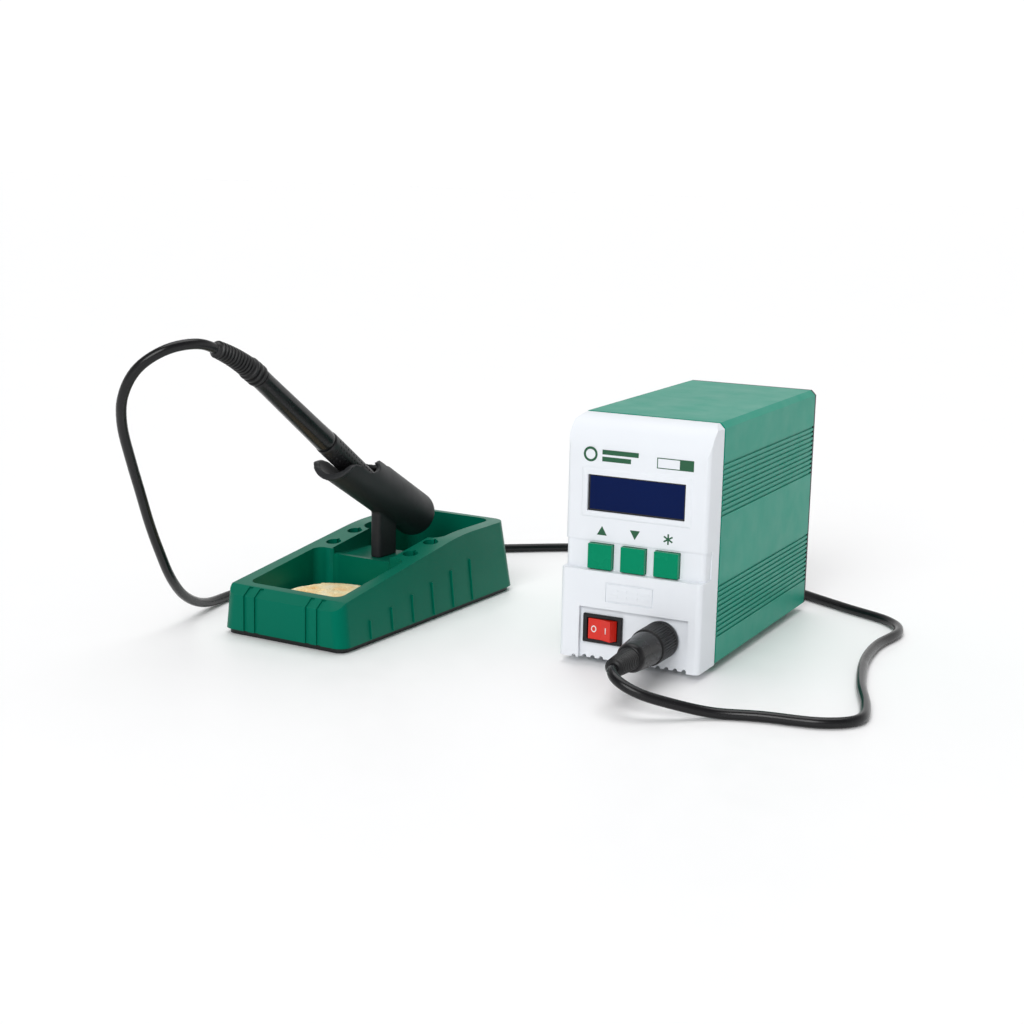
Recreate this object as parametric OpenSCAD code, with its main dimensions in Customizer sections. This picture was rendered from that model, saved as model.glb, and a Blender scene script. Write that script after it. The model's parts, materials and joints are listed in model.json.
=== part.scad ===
// Soldering iron station: a control unit, and an iron in a stand, joined by the iron's cord.
// Millimetres, +Z up, the front faces -Y. Everything stands on the plane z = 0.

/* [Control unit case] */
// Width of the metal case
station_w = 77; // [72:0.5:95]
// Depth of the metal case, from its front edge to its back edge
station_d = 143; // [125:1:175]
// Height of the metal case
station_h = 123.5; // [118:0.5:150]
// Wall thickness of the metal case
case_wall = 2.2; // [1.8:0.1:2.8]
// Chamfer along the case's two top edges
case_bevel = 2.7; // [1:0.1:3.2]
// Distance between the grooves on the case's sides
groove_pitch = 2.6; // [2.2:0.1:3.2]
// Height of a foot, from the table to the case
foot_h = 4; // [3:0.5:8]
// Radius of a foot
foot_r = 6.5; // [5:0.5:9]
// Thickness of the rear panel
rear_t = 2; // [1.5:0.1:3]

/* [Front panel] */
// How far the upper front panel stands in front of the case
panel_y = 19; // [17:0.5:24]
// How far the lower apron stands in front of the upper panel
apron_step = 4.2; // [3.2:0.2:5.2]
// Height of the apron's upper edge
apron_top = 46.1; // [44:0.1:46.3]
// Height of the recessed band that holds the buttons
band_h = 14.6; // [14:0.1:15.5]
// Wall thickness of the front panel
fascia_wall = 2.4; // [2:0.1:3]
// Width of the display window
window_w = 52.6; // [44:0.2:56]
// Height of the display window
window_h = 18.8; // [14:0.1:20]
// Height of the display's centre above the case's bottom
window_z = 85.2; // [82:0.1:88]

/* [Buttons and switch] */
// Width of a button
button_w = 13; // [10:0.1:14.5]
// Height of a button
button_h = 12.8; // [10:0.1:12.8]
// Gap between two buttons
button_gap = 4.9; // [3:0.1:6]
// How far a button travels
button_travel = 1; // [0.5:0.1:1]
// Width of the power switch's bezel
bezel_w = 21.5; // [20:0.5:24]
// Height of the power switch's bezel
bezel_h = 14.9; // [14:0.1:16]
// Angle that the rocker turns between off and on
rocker_angle = 20; // [14:1:22]

/* [Cord connector] */
// Radius of the panel socket's threaded shell
socket_r = 7.9; // [7:0.1:8.4]
// Radius of the plug's knurled ring
ring_r = 9.6; // [9:0.1:10.4]
// Length of the plug's knurled ring
ring_l = 18.8; // [17:0.2:22]
// Length of the plug's body in front of the ring
plug_body_l = 21.4; // [16:0.2:26]
// Length of the plug's strain relief
plug_boot_l = 18; // [14:0.5:24]
// Diameter of the cord
cord_d = 5.2; // [4.4:0.1:6]

/* [Stand] */
// Width of the stand
stand_w = 80; // [76:0.5:98]
// Length of the stand
stand_l = 175; // [164:1:212]
// Height of the stand's rim just behind its front edge
rim_front = 26.6; // [25.4:0.1:29]
// Height of the stand's rim at the back
rim_back = 42; // [40:0.1:52]
// Angle that the stand is turned, seen from above
stand_turn = -3.5; // [-6:0.5:0]
// Gap between the stand's front right corner and the case
stand_gap = 98; // [88:1:130]
// Thickness of the stand's base plate
base_plate_t = 3; // [2:0.5:4]
// Thickness of the side walls beside the sponge tray, at their foot
side_wall = 10.2; // [9:0.1:11]
// Width of the decks that hold the spare tips, from the stand's side
deck_w = 19.8; // [19:0.1:20.5]
// Length of the sponge tray
tray_l = 61.5; // [59:0.5:75]
// Radius of a hole for a spare tip
tip_hole_r = 4.3; // [3:0.1:4.4]
// Thickness of the sponge
sponge_t = 12; // [8:0.5:14]

/* [Iron holder] */
// Clearance between the rubber grip and the holder's bore
holder_gap = 4; // [3.8:0.1:6]
// Wall thickness of the holder's tube
holder_wall = 2.5; // [1.5:0.1:3.2]
// Length of the holder's tube
holder_l = 96.5; // [94:0.5:104]
// Slope of the holder's tube
holder_tilt = 30; // [28:0.5:32]

/* [Iron] */
// Length of the handle behind the grip
handle_l = 69; // [60:1:84]
// Wall thickness of the handle at its cord end
handle_wall_back = 1.35; // [1:0.05:2]
// Wall thickness of the handle where it meets the grip
handle_wall_front = 2.25; // [1.8:0.05:2.5]
// Thickness of the rubber grip
grip_t = 1.55; // [1.2:0.05:2]
// Length of the rubber grip
grip_l = 45; // [36:1:48]
// Radius of the steel barrel
barrel_r = 3.4; // [2.8:0.1:4.1]
// Length of the strain relief at the handle's end
boot_l = 38; // [30:1:44]

/* [Hidden] */
$fn = 64;
e = 0.01;             // overshoot of a cut past the surface it opens
fit = 0.2;            // clearance between pieces that are put together
slide_fit = 0.25;     // clearance round a moving button
run_fit = 0.05;       // radial clearance of a turning or sliding fit

// colours
case_green = [0.13, 0.50, 0.42];
key_green = [0.0, 0.51, 0.35];
stand_green = [0.0, 0.38, 0.29];
fascia_white = [0.90, 0.92, 0.94];
soft_black = [0.09, 0.09, 0.10];
steel = [0.75, 0.76, 0.78];
board_green = [0.10, 0.35, 0.20];

// screws
screw_r = 1.5;        // shank
screw_head_r = 2.8;
screw_head_h = 1.7;

// front panel
band_in = 0.6;                                   // depth of the button band below the upper panel
band_z = apron_top + band_h / 2;
recess_y = panel_y + apron_step - 2.6;           // face of the recess that holds switch and socket
recess_half_w = 29.5;
recess_x = 2.3;
recess_top = 27;
seam = 0.7;                                      // dark gap between panel and case
fascia_w = station_w - 0.6;
fascia_edge_r = 3;                               // rounding of the upright edges
band_back_y = panel_y - band_in - fascia_wall;   // inner face of the wall behind the band
panel_back_y = panel_y - fascia_wall;
lower_back_y = recess_y - fascia_wall;
board_y = 9;                                     // front face of the front circuit board
board_t = 1.6;
apron_y = panel_y + apron_step;                  // face of the apron
plate_z = 35.9;                                  // height of the name plate
post_x = 29.5;
post_z = [apron_top - 0.4, window_z + window_h / 2 + 8.6];

// buttons
button_pitch = button_w + button_gap;
button_z = band_z - 0.3;
button_face_y = panel_y + 2.3;
button_flange_t = 1.2;
button_flange_y = band_back_y - 0.1;
plunger_gap = 0.1;

// switch
switch_x = -14.6;
switch_z = 15.85;
bezel_t = 1.9;
switch_body_w = bezel_w - 2.3;
switch_body_h = bezel_h - 2.1;
rocker_half_w = 8.0 * bezel_w / 21.5;
rocker_h = bezel_h - 4.3;
rocker_gap = 0.3;
pivot_y = recess_y + bezel_t - 3.85;
rocker_pin_r = 1.2;

// socket and plug, measured outwards from the recess face
socket_x = 17.5;
socket_z = 15.5;
socket_bore_r = socket_r - 1.0;
pin_count = 5;
pin_circle_r = socket_bore_r - 3.3;
pin_r = 0.8;
ring_z0 = 1.6;
body_z0 = ring_z0 + ring_l + 0.2;
body_z1 = body_z0 + plug_body_l;
boot_z1 = body_z1 + plug_boot_l;

// rear panel
inlet_z = 31;
inlet_w = 27;
inlet_h = 19.6;
inlet_flange_t = 2.3;
inlet_depth = 16;
inlet_screw_x = 20;
channel_r = 3.3;                                 // screw channel in each corner of the case
channel_in = case_wall + 3.1;

// inside
rail_z = 68;
power_board_w = station_w - 2 * case_wall - 0.6;
transformer_y = 82;
core_w = 55;
core_t = 24;
core_h = 46;
bracket_t = 1.2;

// stand
side_draft = 4.5;                                  // how far each side leans in at the height of the back rim
back_draft = 5;
front_bevel_y = 6;
front_bevel_z = 4.3;
corner_r = 7;
back_corner_r = 9;
tray_y = 10.5;
tray_floor = 7;
tray_half_w = stand_w / 2 - side_wall;
deck_half_w = stand_w / 2 - deck_w;
cross_wall_y = tray_y + tray_l + 1.5;
cross_wall_z = 32.4;
cross_wall_t = 3;
rim_flat_y = cross_wall_y + 46;                  // where the rim's slope ends
rim_blend = 14;                                  // half length of the curve there
shelf_z = 30.5;
shelf_t = 3.5;
shelf_end_y = cross_wall_y + 32;
deck_under_z = 30.5;                             // underside of the decks
well_floor = 6;
well_y0 = cross_wall_y + 35;
well_y1 = stand_l - 9;
well_half_w = stand_w / 2 - 12.5;
under_top = shelf_z - shelf_t;
under_wall = 11;                                 // outer wall beside the space under the decks
tip_hole_x = deck_half_w + tip_hole_r + 1.5;
tip_hole_y = [cross_wall_y + 8.5, cross_wall_y + 29];
sponge_half_w = tray_half_w - 5.3;
sponge_half_l = tray_l / 2 - 1.85;
groove_w = 2.7;                                  // upright grooves in the front
groove_x = [16.7, 23.8];
side_rib_count = 6;
side_rib_pitch = 20.2;
plate_inset = 2;

// iron, along its own axis from the joint between handle and grip
handle_bore_r = barrel_r + 0.55;
core_r = handle_bore_r + 1;
grip_r = core_r + grip_t;
handle_r_back = handle_bore_r + handle_wall_back;
handle_r_front = handle_bore_r + handle_wall_front;
iron_turn = 5.5;                                 // how much steeper the iron lies than the holder
iron_out = 11.3;                                 // where that joint lies, out of the holder's mouth
iron_up = 3.5;                                   // and up from its axis
nut_l = 9.6;
barrel_l = 40;
tip_r = barrel_r - 0.5;
tip_end = holder_l + 0.5;

// holder
holder_bore_r = grip_r + holder_gap;
holder_r = holder_bore_r + holder_wall;
holder_end_r = 8;                                // rounding of the tube's closed end
holder_y = 47;
holder_z = 93.8;
stem_y = cross_wall_y + 20.5;
stem_w = 7;
stem_l = 18;
stem_r = 2.5;
stem_h = holder_z - (stem_y - holder_y) * tan(holder_tilt) - shelf_z - 2;
boot_bend = 17;                                  // how far the strain relief has bent under the cord's pull

// places
corner_half = stand_w / 2 - corner_r;
stand_left = corner_half * cos(stand_turn) + corner_r * sin(stand_turn) + corner_r;
stand_right = stand_w / 2 * cos(stand_turn);
total_w = stand_left + stand_right + stand_gap + station_w;
stand_x = -total_w / 2 + stand_left;
stand_y = -82.5;
station_x = total_w / 2 - station_w / 2;
station_y = -12;

// The cord's route. The last point of the arch is the first of the stretch that lies on the table.
arch_route = [
  [-90.5, -131, 159], [-92.6, -144, 163], [-101, -157, 161], [-112.4, -165, 152], [-121.6, -165, 138],
  [-129, -157, 122], [-134, -145, 103], [-138, -133, 84], [-142, -121, 65], [-145, -109, 47],
  [-149, -95, 30]
];
floor_route = [
  [-149, -95, 30], [-155, -75, 15], [-161, -49, 5], [-165, -18, 2.7], [-165, 18, 2.7],
  [-160, 57, 2.7], [-147, 104, 2.7], [-123, 144, 2.7], [-86, 172, 2.7], [-52, 197, 2.7],
  [-13, 219, 2.7], [31, 219, 2.7], [74, 192, 2.7], [112, 163, 2.7], [150, 140, 2.7],
  [179, 124, 2.7], [190, 104, 2.7], [187, 72, 2.7], [190, 38, 2.7], [200, -2, 2.7],
  [212, -36, 2.7], [215, -58, 2.7], [201, -71, 2.7], [174, -76, 2.7], [153, -83.5, 3],
  [136, -95, 8], [123, -102, 12.5], [112, -102, 17], [106.5, -95.5, 19.3], [106.2, -89, 19.5]
];
cord_ring_step = 15;
cord_sides = 10;

// ---------------------------------------------------------------- helpers

module in_station() { translate([station_x, station_y, foot_h]) children(); }

module in_stand() { translate([stand_x, stand_y, 0]) rotate([0, 0, stand_turn]) children(); }

// +Z leaves the holder's mouth, and the mouth's centre is the origin
module on_holder() {
  in_stand() translate([0, holder_y, holder_z]) rotate([90 - holder_tilt, 0, 0]) children();
}

// +Z runs up the handle, and the joint between handle and grip is the origin
module on_iron() {
  on_holder() translate([0, iron_up, iron_out]) rotate([-iron_turn, 0, 0]) children();
}

// +Z leaves the panel, and the recess face is the origin
module on_socket() {
  in_station() translate([socket_x, -recess_y, socket_z]) rotate([90, 0, 0]) children();
}

// A 2D shape drawn in X and Z, made solid from y0 back to y1
module along_y(y0, y1) { translate([0, y1, 0]) rotate([90, 0, 0]) linear_extrude(y1 - y0) children(); }

// A 2D shape drawn in Y and Z, made solid over the width w about x = 0
module along_x(w) { translate([-w / 2, 0, 0]) rotate([90, 0, 90]) linear_extrude(w) children(); }

// A box centred on x and z, from y0 back to y1
module slab(w, h, y0, y1, x = 0, z = 0) { translate([x - w / 2, y0, z - h / 2]) cube([w, y1 - y0, h]); }

module ring(r_out, r_in, h) {
  difference() {
    cylinder(h = h, r = r_out);
    translate([0, 0, -e]) cylinder(h = h + 2 * e, r = r_in);
  }
}

module rounded_rect(w, l, r) {
  union() {
    translate([-w / 2 + r, -l / 2]) square([w - 2 * r, l]);
    translate([-w / 2, -l / 2 + r]) square([w, l - 2 * r]);
    for (x = [-1, 1], y = [-1, 1]) translate([x * (w / 2 - r), y * (l / 2 - r)]) circle(r);
  }
}

// Plan of the stand from y0 to y1, with its own corner radius at the front and at the back
module stand_plan(w, y0, y1, r0, r1) {
  union() {
    translate([-w / 2, y0 + r0]) square([w, y1 - y0 - r0 - r1]);
    translate([-w / 2 + r0, y0]) square([w - 2 * r0, r0 + e]);
    translate([-w / 2 + r1, y1 - r1 - e]) square([w - 2 * r1, r1 + e]);
    for (x = [-1, 1]) {
      translate([x * (w / 2 - r0), y0 + r0]) circle(r0);
      translate([x * (w / 2 - r1), y1 - r1]) circle(r1);
    }
  }
}

// Screw with its head on the far side of z = 0 and its shank towards +Z
module screw(shank_l, head_r = screw_head_r, r = screw_r) {
  union() {
    translate([0, 0, -screw_head_h]) cylinder(h = screw_head_h, r = head_r);
    cylinder(h = shank_l, r = r);
  }
}

// A point of a smooth curve through p1 and p2
function curve_point(p0, p1, p2, p3, t) =
  0.5 * (2 * p1 + (p2 - p0) * t + (2 * p0 - 5 * p1 + 4 * p2 - p3) * t * t
         + (3 * p1 - p0 - 3 * p2 + p3) * t * t * t);
function route_end(r, i) =
  i < 0 ? 2 * r[0] - r[1] : i >= len(r) ? 2 * r[len(r) - 1] - r[len(r) - 2] : r[i];
function route_points(r) = concat(
  [for (i = [0 : len(r) - 2])
    let (n = max(1, ceil(norm(r[i + 1] - r[i]) / cord_ring_step)))
    for (k = [0 : n - 1])
      curve_point(route_end(r, i - 1), r[i], r[i + 1], route_end(r, i + 2), k / n)],
  [r[len(r) - 1]]);
function unit(v) = v / norm(v);
// A ring of points about c, square to the direction d
function ring_points(c, d, r, sides, up = [0, 0, 1]) =
  let (s = unit(cross(d, abs(d * up) > 0.97 ? [1, 0, 0] : up)), n = cross(s, d))
  [for (a = [0 : sides - 1]) c + r * (cos(a * 360 / sides) * s + sin(a * 360 / sides) * n)];
function tube_faces(rings, sides) = concat(
  [[for (a = [0 : sides - 1]) a]],
  [for (i = [0 : rings - 2], a = [0 : sides - 1])
    [i * sides + a, (i + 1) * sides + a, (i + 1) * sides + (a + 1) % sides, i * sides + (a + 1) % sides]],
  [[for (a = [0 : sides - 1]) (rings - 1) * sides + sides - 1 - a]]);

// A cord along the points p. first and last are the directions at its ends.
module swept_cord(p, first, last) {
  n = len(p);
  dirs = [for (i = [0 : n - 1]) i == 0 ? first : i == n - 1 ? last : unit(p[i + 1] - p[i - 1])];
  points = [for (i = [0 : n - 1]) each ring_points(p[i], dirs[i], cord_d / 2, cord_sides)];
  polyhedron(points, tube_faces(n, cord_sides));
}

// ---------------------------------------------------------------- control unit

module case_outline(w = station_w, h = station_h, b = case_bevel) {
  polygon([[-w / 2, 1], [-w / 2 + 1, 0], [w / 2 - 1, 0], [w / 2, 1],
           [w / 2, h - b], [w / 2 - b, h], [-w / 2 + b, h], [-w / 2, h - b]]);
}

module channel_places() {
  for (x = [-1, 1], z = [channel_in, station_h - channel_in])
    translate([x * (station_w / 2 - channel_in), z]) children();
}

module case_profile() {
  difference() {
    union() {
      difference() {
        case_outline();
        translate([-station_w / 2 + case_wall, case_wall])
          square([station_w - 2 * case_wall, station_h - 2 * case_wall]);
      }
      channel_places() circle(channel_r);
      for (x = [-1, 1], z = [rail_z - 1.8, rail_z + 2])
        translate([x * (station_w / 2 - case_wall - 1.2 + e), z]) square([2.4, 1.4], center = true);
    }
    channel_places() circle(screw_r);
    for (x = [-1, 1], i = [0 : 10])
      translate([x * station_w / 2, 14.8 + i * groove_pitch]) square([1.4, 1.2], center = true);
    for (x = [-1, 1], i = [0 : 10])
      translate([x * station_w / 2, station_h - 46.6 + i * groove_pitch]) square([1.4, 1.2], center = true);
  }
}

module foot_places() {
  for (x = [-1, 1], y = [14, station_d - 14])
    translate([x * (station_w / 2 - 12), y, 0]) children();
}

module transformer_screw_places() {
  for (x = [-1, 1]) translate([x * (core_w / 2 - 4), transformer_y + core_t / 2 + 5, 0]) children();
}

module fascia_screw_places() {
  for (x = [-1, 1]) translate([x * 12, 3, 0]) children();
}

module case_shell() {
  color(case_green) in_station() difference() {
    along_y(0, station_d) case_profile();
    foot_places() translate([0, 0, -e]) cylinder(h = case_wall + 2 * e, r = screw_r);
    transformer_screw_places() translate([0, 0, -e]) cylinder(h = case_wall + 2 * e, r = screw_r + 0.1);
    fascia_screw_places() translate([0, 0, -e]) cylinder(h = case_wall + 2 * e, r = screw_r + 0.1);
  }
}

// Side view of the panel's outside: a flat face that curves back to the case's top
module fascia_side(depth, h) {
  union() {
    translate([-depth, 0]) square([depth, h - depth]);
    intersection() {
      translate([0, h - depth]) circle(depth);
      translate([-depth, h - depth - e]) square([depth, depth + e]);
    }
  }
}

// Plan view with rounded front corners
module fascia_plan(w, depth, r) {
  union() {
    translate([-w / 2, -depth + r]) square([w, depth - r]);
    translate([-w / 2 + r, -depth]) square([w - 2 * r, depth]);
    for (x = [-1, 1]) translate([x * (w / 2 - r), -depth + r]) circle(r);
  }
}

module upper_panel() {
  intersection() {
    along_x(fascia_w) fascia_side(panel_y, station_h);
    linear_extrude(station_h) fascia_plan(fascia_w, panel_y, fascia_edge_r);
    along_y(-panel_y - e, -seam) case_outline(fascia_w, station_h - 0.3, case_bevel);
  }
}

module band_cut() {
  z0 = apron_top - e;
  difference() {
    along_x(fascia_w + 2) union() {
      translate([-panel_y - 1, z0]) square([panel_y - 11.5, band_h]);
      translate([-12.5, z0]) square([2, band_h - 3]);
      translate([-12.5, z0 + band_h - 3]) circle(3 - e);
    }
    translate([0, 0, z0 - 1]) linear_extrude(band_h + 2)
      fascia_plan(fascia_w - 2 * band_in, panel_y - band_in, 2.6);
  }
}

module fascia_cavity() {
  w = fascia_w - 2 * fascia_wall;
  intersection() {
    union() {
      along_x(w) difference() {
        fascia_side(panel_back_y, station_h - fascia_wall - 0.3);
        translate([-panel_y, -1]) square([panel_y + 1, apron_top + band_h + 1.6]);
      }
      slab(w, band_h + 4, -band_back_y, 1, 0, band_z);
      slab(w, apron_top - fascia_wall, -lower_back_y, 1, 0, (apron_top + fascia_wall) / 2);
    }
    translate([-w / 2, -panel_y - 5, fascia_wall]) cube([w, panel_y + 6, station_h]);
  }
}

// Tabs that reach into the case
module fascia_tabs() {
  in = case_wall + fit;
  slab(54, 1.6, -3, 6, 0, in + 0.8);
  slab(54, 1.6, -3, 6, 0, station_h - in - 0.8);
  for (x = [-1, 1]) slab(1.6, 40, -3, 6, x * (station_w / 2 - in - 0.8), station_h / 2 - 22);
}

module front_fascia() {
  color(fascia_white) in_station() difference() {
    union() {
      difference() {
        union() {
          difference() { upper_panel(); band_cut(); }
          linear_extrude(apron_top) intersection() {
            fascia_plan(fascia_w, panel_y + apron_step, fascia_edge_r);
            translate([-fascia_w, -50]) square([2 * fascia_w, 50 - seam]);
          }
        }
        fascia_cavity();
      }
      fascia_tabs();
      board_post_places() cylinder(h = panel_y - board_y - 1.5, r = 2.6);
    }
    // display window, button holes, recess with switch hole and socket hole
    slab(window_w, window_h, -panel_y - 1, 0, 0, window_z);
    for (x = [-1 : 1])
      slab(button_w + 2 * slide_fit, button_h + 2 * slide_fit, -panel_y - 1, 0, x * button_pitch, button_z);
    slab(2 * recess_half_w, recess_top + 1, -apron_y - 1, -recess_y, recess_x, recess_top / 2 - 0.5);
    slab(switch_body_w + 2 * fit, switch_body_h + 2 * fit, -recess_y - 1, 0, switch_x, switch_z);
    translate([socket_x, 0, socket_z]) rotate([90, 0, 0]) cylinder(h = recess_y + 1, r = socket_r + 0.1);
    board_post_places() translate([0, 0, -e]) cylinder(h = 6, r = screw_r - 0.4);
    fascia_screw_places() translate([0, 0, case_wall]) cylinder(h = 3, r = screw_r);
    // scallops under the front edge
    for (x = [-1, 1], i = [0 : 3]) translate([x * (15.5 + 4.7 * i), -1, 0])
      rotate([90, 0, 0]) cylinder(h = panel_y + 6, r = 1.3, $fn = 24);
    // blank name plate inside a sunken line
    difference() {
      slab(26, 10.2, -apron_y - 1, -apron_y + 0.5, 0, plate_z);
      slab(24.4, 8.6, -apron_y - 2, -apron_y + 1, 0, plate_z);
    }
  }
}

// +Z points out of the front, from the front circuit board's face
module board_post_places() {
  for (x = [-1, 1], z = post_z) translate([x * post_x, -board_y, z]) rotate([90, 0, 0]) children();
}

module fascia_screws() {
  color(steel) in_station() fascia_screw_places() screw(case_wall + 2.2);
}

module rear_panel() {
  color(soft_black) in_station() difference() {
    along_y(station_d, station_d + rear_t) difference() {
      case_outline();
      channel_places() circle(screw_r + 0.1);
      translate([0, inlet_z]) square([inlet_w + 2 * fit, inlet_h + 2 * fit], center = true);
      for (x = [-1, 1]) translate([x * inlet_screw_x, inlet_z]) circle(screw_r + 0.1);
      for (i = [0 : 7]) translate([0, 62 + 5.5 * i]) rounded_rect(44, 2.4, 1.15);
    }
  }
}

module rear_panel_screws() {
  color(steel) in_station() translate([0, station_d + rear_t, 0]) rotate([90, 0, 0])
    channel_places() screw(12);
}

module display_lens() {
  color([0.05, 0.10, 0.25]) in_station() union() {
    slab(window_w - 0.4, window_h - 0.4, -panel_y + 0.8, -panel_back_y + e, 0, window_z);
    slab(window_w + 3, window_h + 3, -panel_back_y + e, -panel_back_y + 1.2, 0, window_z);
  }
}

module lcd_module() {
  color([0.0, 0.08, 0.28]) in_station()
    slab(window_w + 3, window_h + 4, -panel_back_y + 1.4, -board_y - 3.2, 0, window_z);
}

module lcd_carrier() {
  color([0.15, 0.15, 0.16]) in_station()
    slab(window_w + 4.5, window_h + 5.5, -board_y - 3.1, -board_y - 0.1, 0, window_z);
}

module front_board() {
  z0 = post_z[0] - 3.2;
  z1 = post_z[1] + 3.2;
  color(board_green) in_station() difference() {
    slab(2 * post_x + 7, z1 - z0, -board_y, -board_y + board_t, 0, (z0 + z1) / 2);
    board_post_places() translate([0, 0, -board_t - 1]) cylinder(h = board_t + 2, r = screw_r - 0.3);
  }
}

module front_board_screws() {
  color(steel) in_station() board_post_places()
    translate([0, 0, -board_t]) screw(board_t + 5, 2.4, screw_r - 0.4);
}

module tactile_switches() {
  tip_y = button_flange_y - button_flange_t - button_travel - plunger_gap;
  color([0.1, 0.1, 0.1]) in_station() for (x = [-1 : 1]) union() {
    slab(6, 6, -tip_y + 0.8, -board_y - 0.02, x * button_pitch, button_z);
    translate([x * button_pitch, -tip_y + 0.9, button_z]) rotate([90, 0, 0]) cylinder(h = 0.9, r = 1.7);
  }
}

module button_cap(x) {
  color(key_green) in_station() union() {
    slab(button_w, button_h, -button_face_y, -button_flange_y + e, x * button_pitch, button_z);
    slab(button_w + 2.4, button_h + 0.9, -button_flange_y, -button_flange_y + button_flange_t,
         x * button_pitch, button_z);
  }
}

module button_up() { button_cap(-1); }
module button_down() { button_cap(0); }
module button_set() { button_cap(1); }

module switch_body() {
  color(soft_black) in_station() translate([switch_x, 0, switch_z]) difference() {
    union() {
      slab(bezel_w, bezel_h, -recess_y - bezel_t, -recess_y);
      slab(switch_body_w, switch_body_h, -recess_y - e, -recess_y + 14);
    }
    slab(2 * rocker_half_w + 2 * rocker_gap, rocker_h + 0.4, -recess_y - bezel_t - 1, -pivot_y + 5.4);
    translate([0, -pivot_y, 0]) cylinder(h = rocker_h + 2.4, r = rocker_pin_r + run_fit, center = true);
  }
}

// Plan view of the rocker half way between off and on, about its pivot
module rocker_plan() {
  face = 4.3;
  end_x = rocker_half_w - 1.4;
  end_y = face + end_x * tan(rocker_angle / 2);
  polygon([[-rocker_half_w + 1.6, 2.6], [rocker_half_w - 1.6, 2.6], [rocker_half_w, -1.5], [end_x, -end_y],
           [0, -face], [-end_x, -end_y], [-rocker_half_w, -1.5]]);
}

module switch_rocker() {
  color([0.82, 0.12, 0.08]) in_station() translate([switch_x, -pivot_y, switch_z])
    rotate([0, 0, -rocker_angle / 2]) union() {
      linear_extrude(rocker_h, center = true) rocker_plan();
      cylinder(h = rocker_h + 1.8, r = rocker_pin_r, center = true);
    }
}

module switch_terminals() {
  color([0.8, 0.65, 0.3]) in_station() translate([switch_x, 0, switch_z])
    for (x = [-5, 2]) slab(0.8, 6.3, -recess_y + 14, -recess_y + 22, x);
}

module socket_shell() {
  color(steel) on_socket() difference() {
    union() {
      translate([0, 0, -11]) cylinder(h = 19, r = socket_r);
      cylinder(h = 1.2, r = ring_r - 0.4);
    }
    translate([0, 0, -12]) cylinder(h = 22, r = socket_bore_r);
  }
}

module socket_nut() {
  color(steel) on_socket() translate([0, 0, -fascia_wall - 2.6]) difference() {
    cylinder(h = 2.5, r = ring_r + 1.6, $fn = 6);
    translate([0, 0, -1]) cylinder(h = 5, r = socket_r);
  }
}

module pin_places() {
  for (i = [0 : pin_count - 1]) rotate([0, 0, 90 + i * 360 / (pin_count + 1)])
    translate([pin_circle_r, 0, 0]) children();
}

module socket_insulator() {
  color([0.12, 0.12, 0.12]) on_socket() difference() {
    translate([0, 0, -9]) cylinder(h = 10, r = socket_bore_r);
    pin_places() translate([0, 0, -10]) cylinder(h = 12, r = pin_r, $fn = 24);
  }
}

module socket_pins() {
  color([0.85, 0.7, 0.35]) on_socket() pin_places()
    translate([0, 0, -14]) cylinder(h = 20.5, r = pin_r, $fn = 24);
}

module inlet_outline(w, h) {
  polygon([[-w / 2, -h / 2], [w / 2, -h / 2], [w / 2, h / 2 - 4.5], [w / 2 - 4.5, h / 2],
           [-w / 2 + 4.5, h / 2], [-w / 2, h / 2 - 4.5]]);
}

module inlet_pin_places() {
  translate([0, 0, 1.8]) children();
  for (x = [-1, 1]) translate([x * 7, 0, -1.4]) children();
}

module mains_inlet() {
  y0 = station_d + rear_t;
  color(soft_black) in_station() translate([0, 0, inlet_z]) difference() {
    union() {
      along_y(y0, y0 + inlet_flange_t) rounded_rect(48, 23, 4);
      slab(inlet_w, inlet_h, y0 - inlet_depth - 2, y0 + e);
    }
    along_y(y0 - inlet_depth + 1.5, y0 + inlet_flange_t + 1) inlet_outline(24.4, 17);
    for (x = [-1, 1]) translate([x * inlet_screw_x, y0 + 5, 0])
      rotate([90, 0, 0]) cylinder(h = 8, r = screw_r + 0.1);
    inlet_pin_places() slab(2, 4, y0 - inlet_depth - 3, y0);
  }
}

module inlet_pins() {
  y0 = station_d + rear_t;
  color(steel) in_station() translate([0, 0, inlet_z])
    inlet_pin_places() slab(2, 4, y0 - inlet_depth - 9, y0 - 3);
}

module inlet_screws() {
  color(steel) in_station() translate([0, station_d + rear_t + inlet_flange_t, inlet_z]) rotate([90, 0, 0])
    for (x = [-1, 1]) translate([x * inlet_screw_x, 0, 0]) screw(9);
}

module power_board() {
  color(board_green) in_station() slab(power_board_w, board_t, 14, station_d - 30, 0, rail_z + 0.1);
}

module heat_sink() {
  z = rail_z + 0.1 + board_t / 2;
  color(steel) in_station() union() {
    translate([-26, 60, z]) cube([26, 30, 3]);
    for (i = [0 : 6]) translate([-26 + i * 4, 60, z + 3 - e]) cube([1.6, 30, 19]);
  }
}

module capacitors() {
  z = rail_z + 0.1 + board_t / 2;
  color([0.12, 0.14, 0.3]) in_station() for (i = [0 : 2])
    translate([16, 34 + i * 20, z]) cylinder(h = 26 - 4 * i, r = 7 - i);
}

module fuse() {
  z = rail_z + 0.1 + board_t / 2 + 3.2;
  color([0.85, 0.85, 0.8]) in_station() translate([-20, 28, z]) rotate([-90, 0, 0]) union() {
    cylinder(h = 20, r = 2.2);
    for (y = [0, 14.5]) translate([0, 0, y]) cylinder(h = 5.5, r = 2.6);
  }
}

module transformer_core() {
  z0 = case_wall + bracket_t;
  color([0.35, 0.35, 0.37]) in_station() translate([0, transformer_y, z0 + core_h / 2]) difference() {
    slab(core_w, core_h, -core_t / 2, core_t / 2);
    for (x = [-1, 1]) slab(core_w / 6, core_h - core_w / 3, -core_t, core_t, x * core_w / 4);
  }
}

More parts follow.
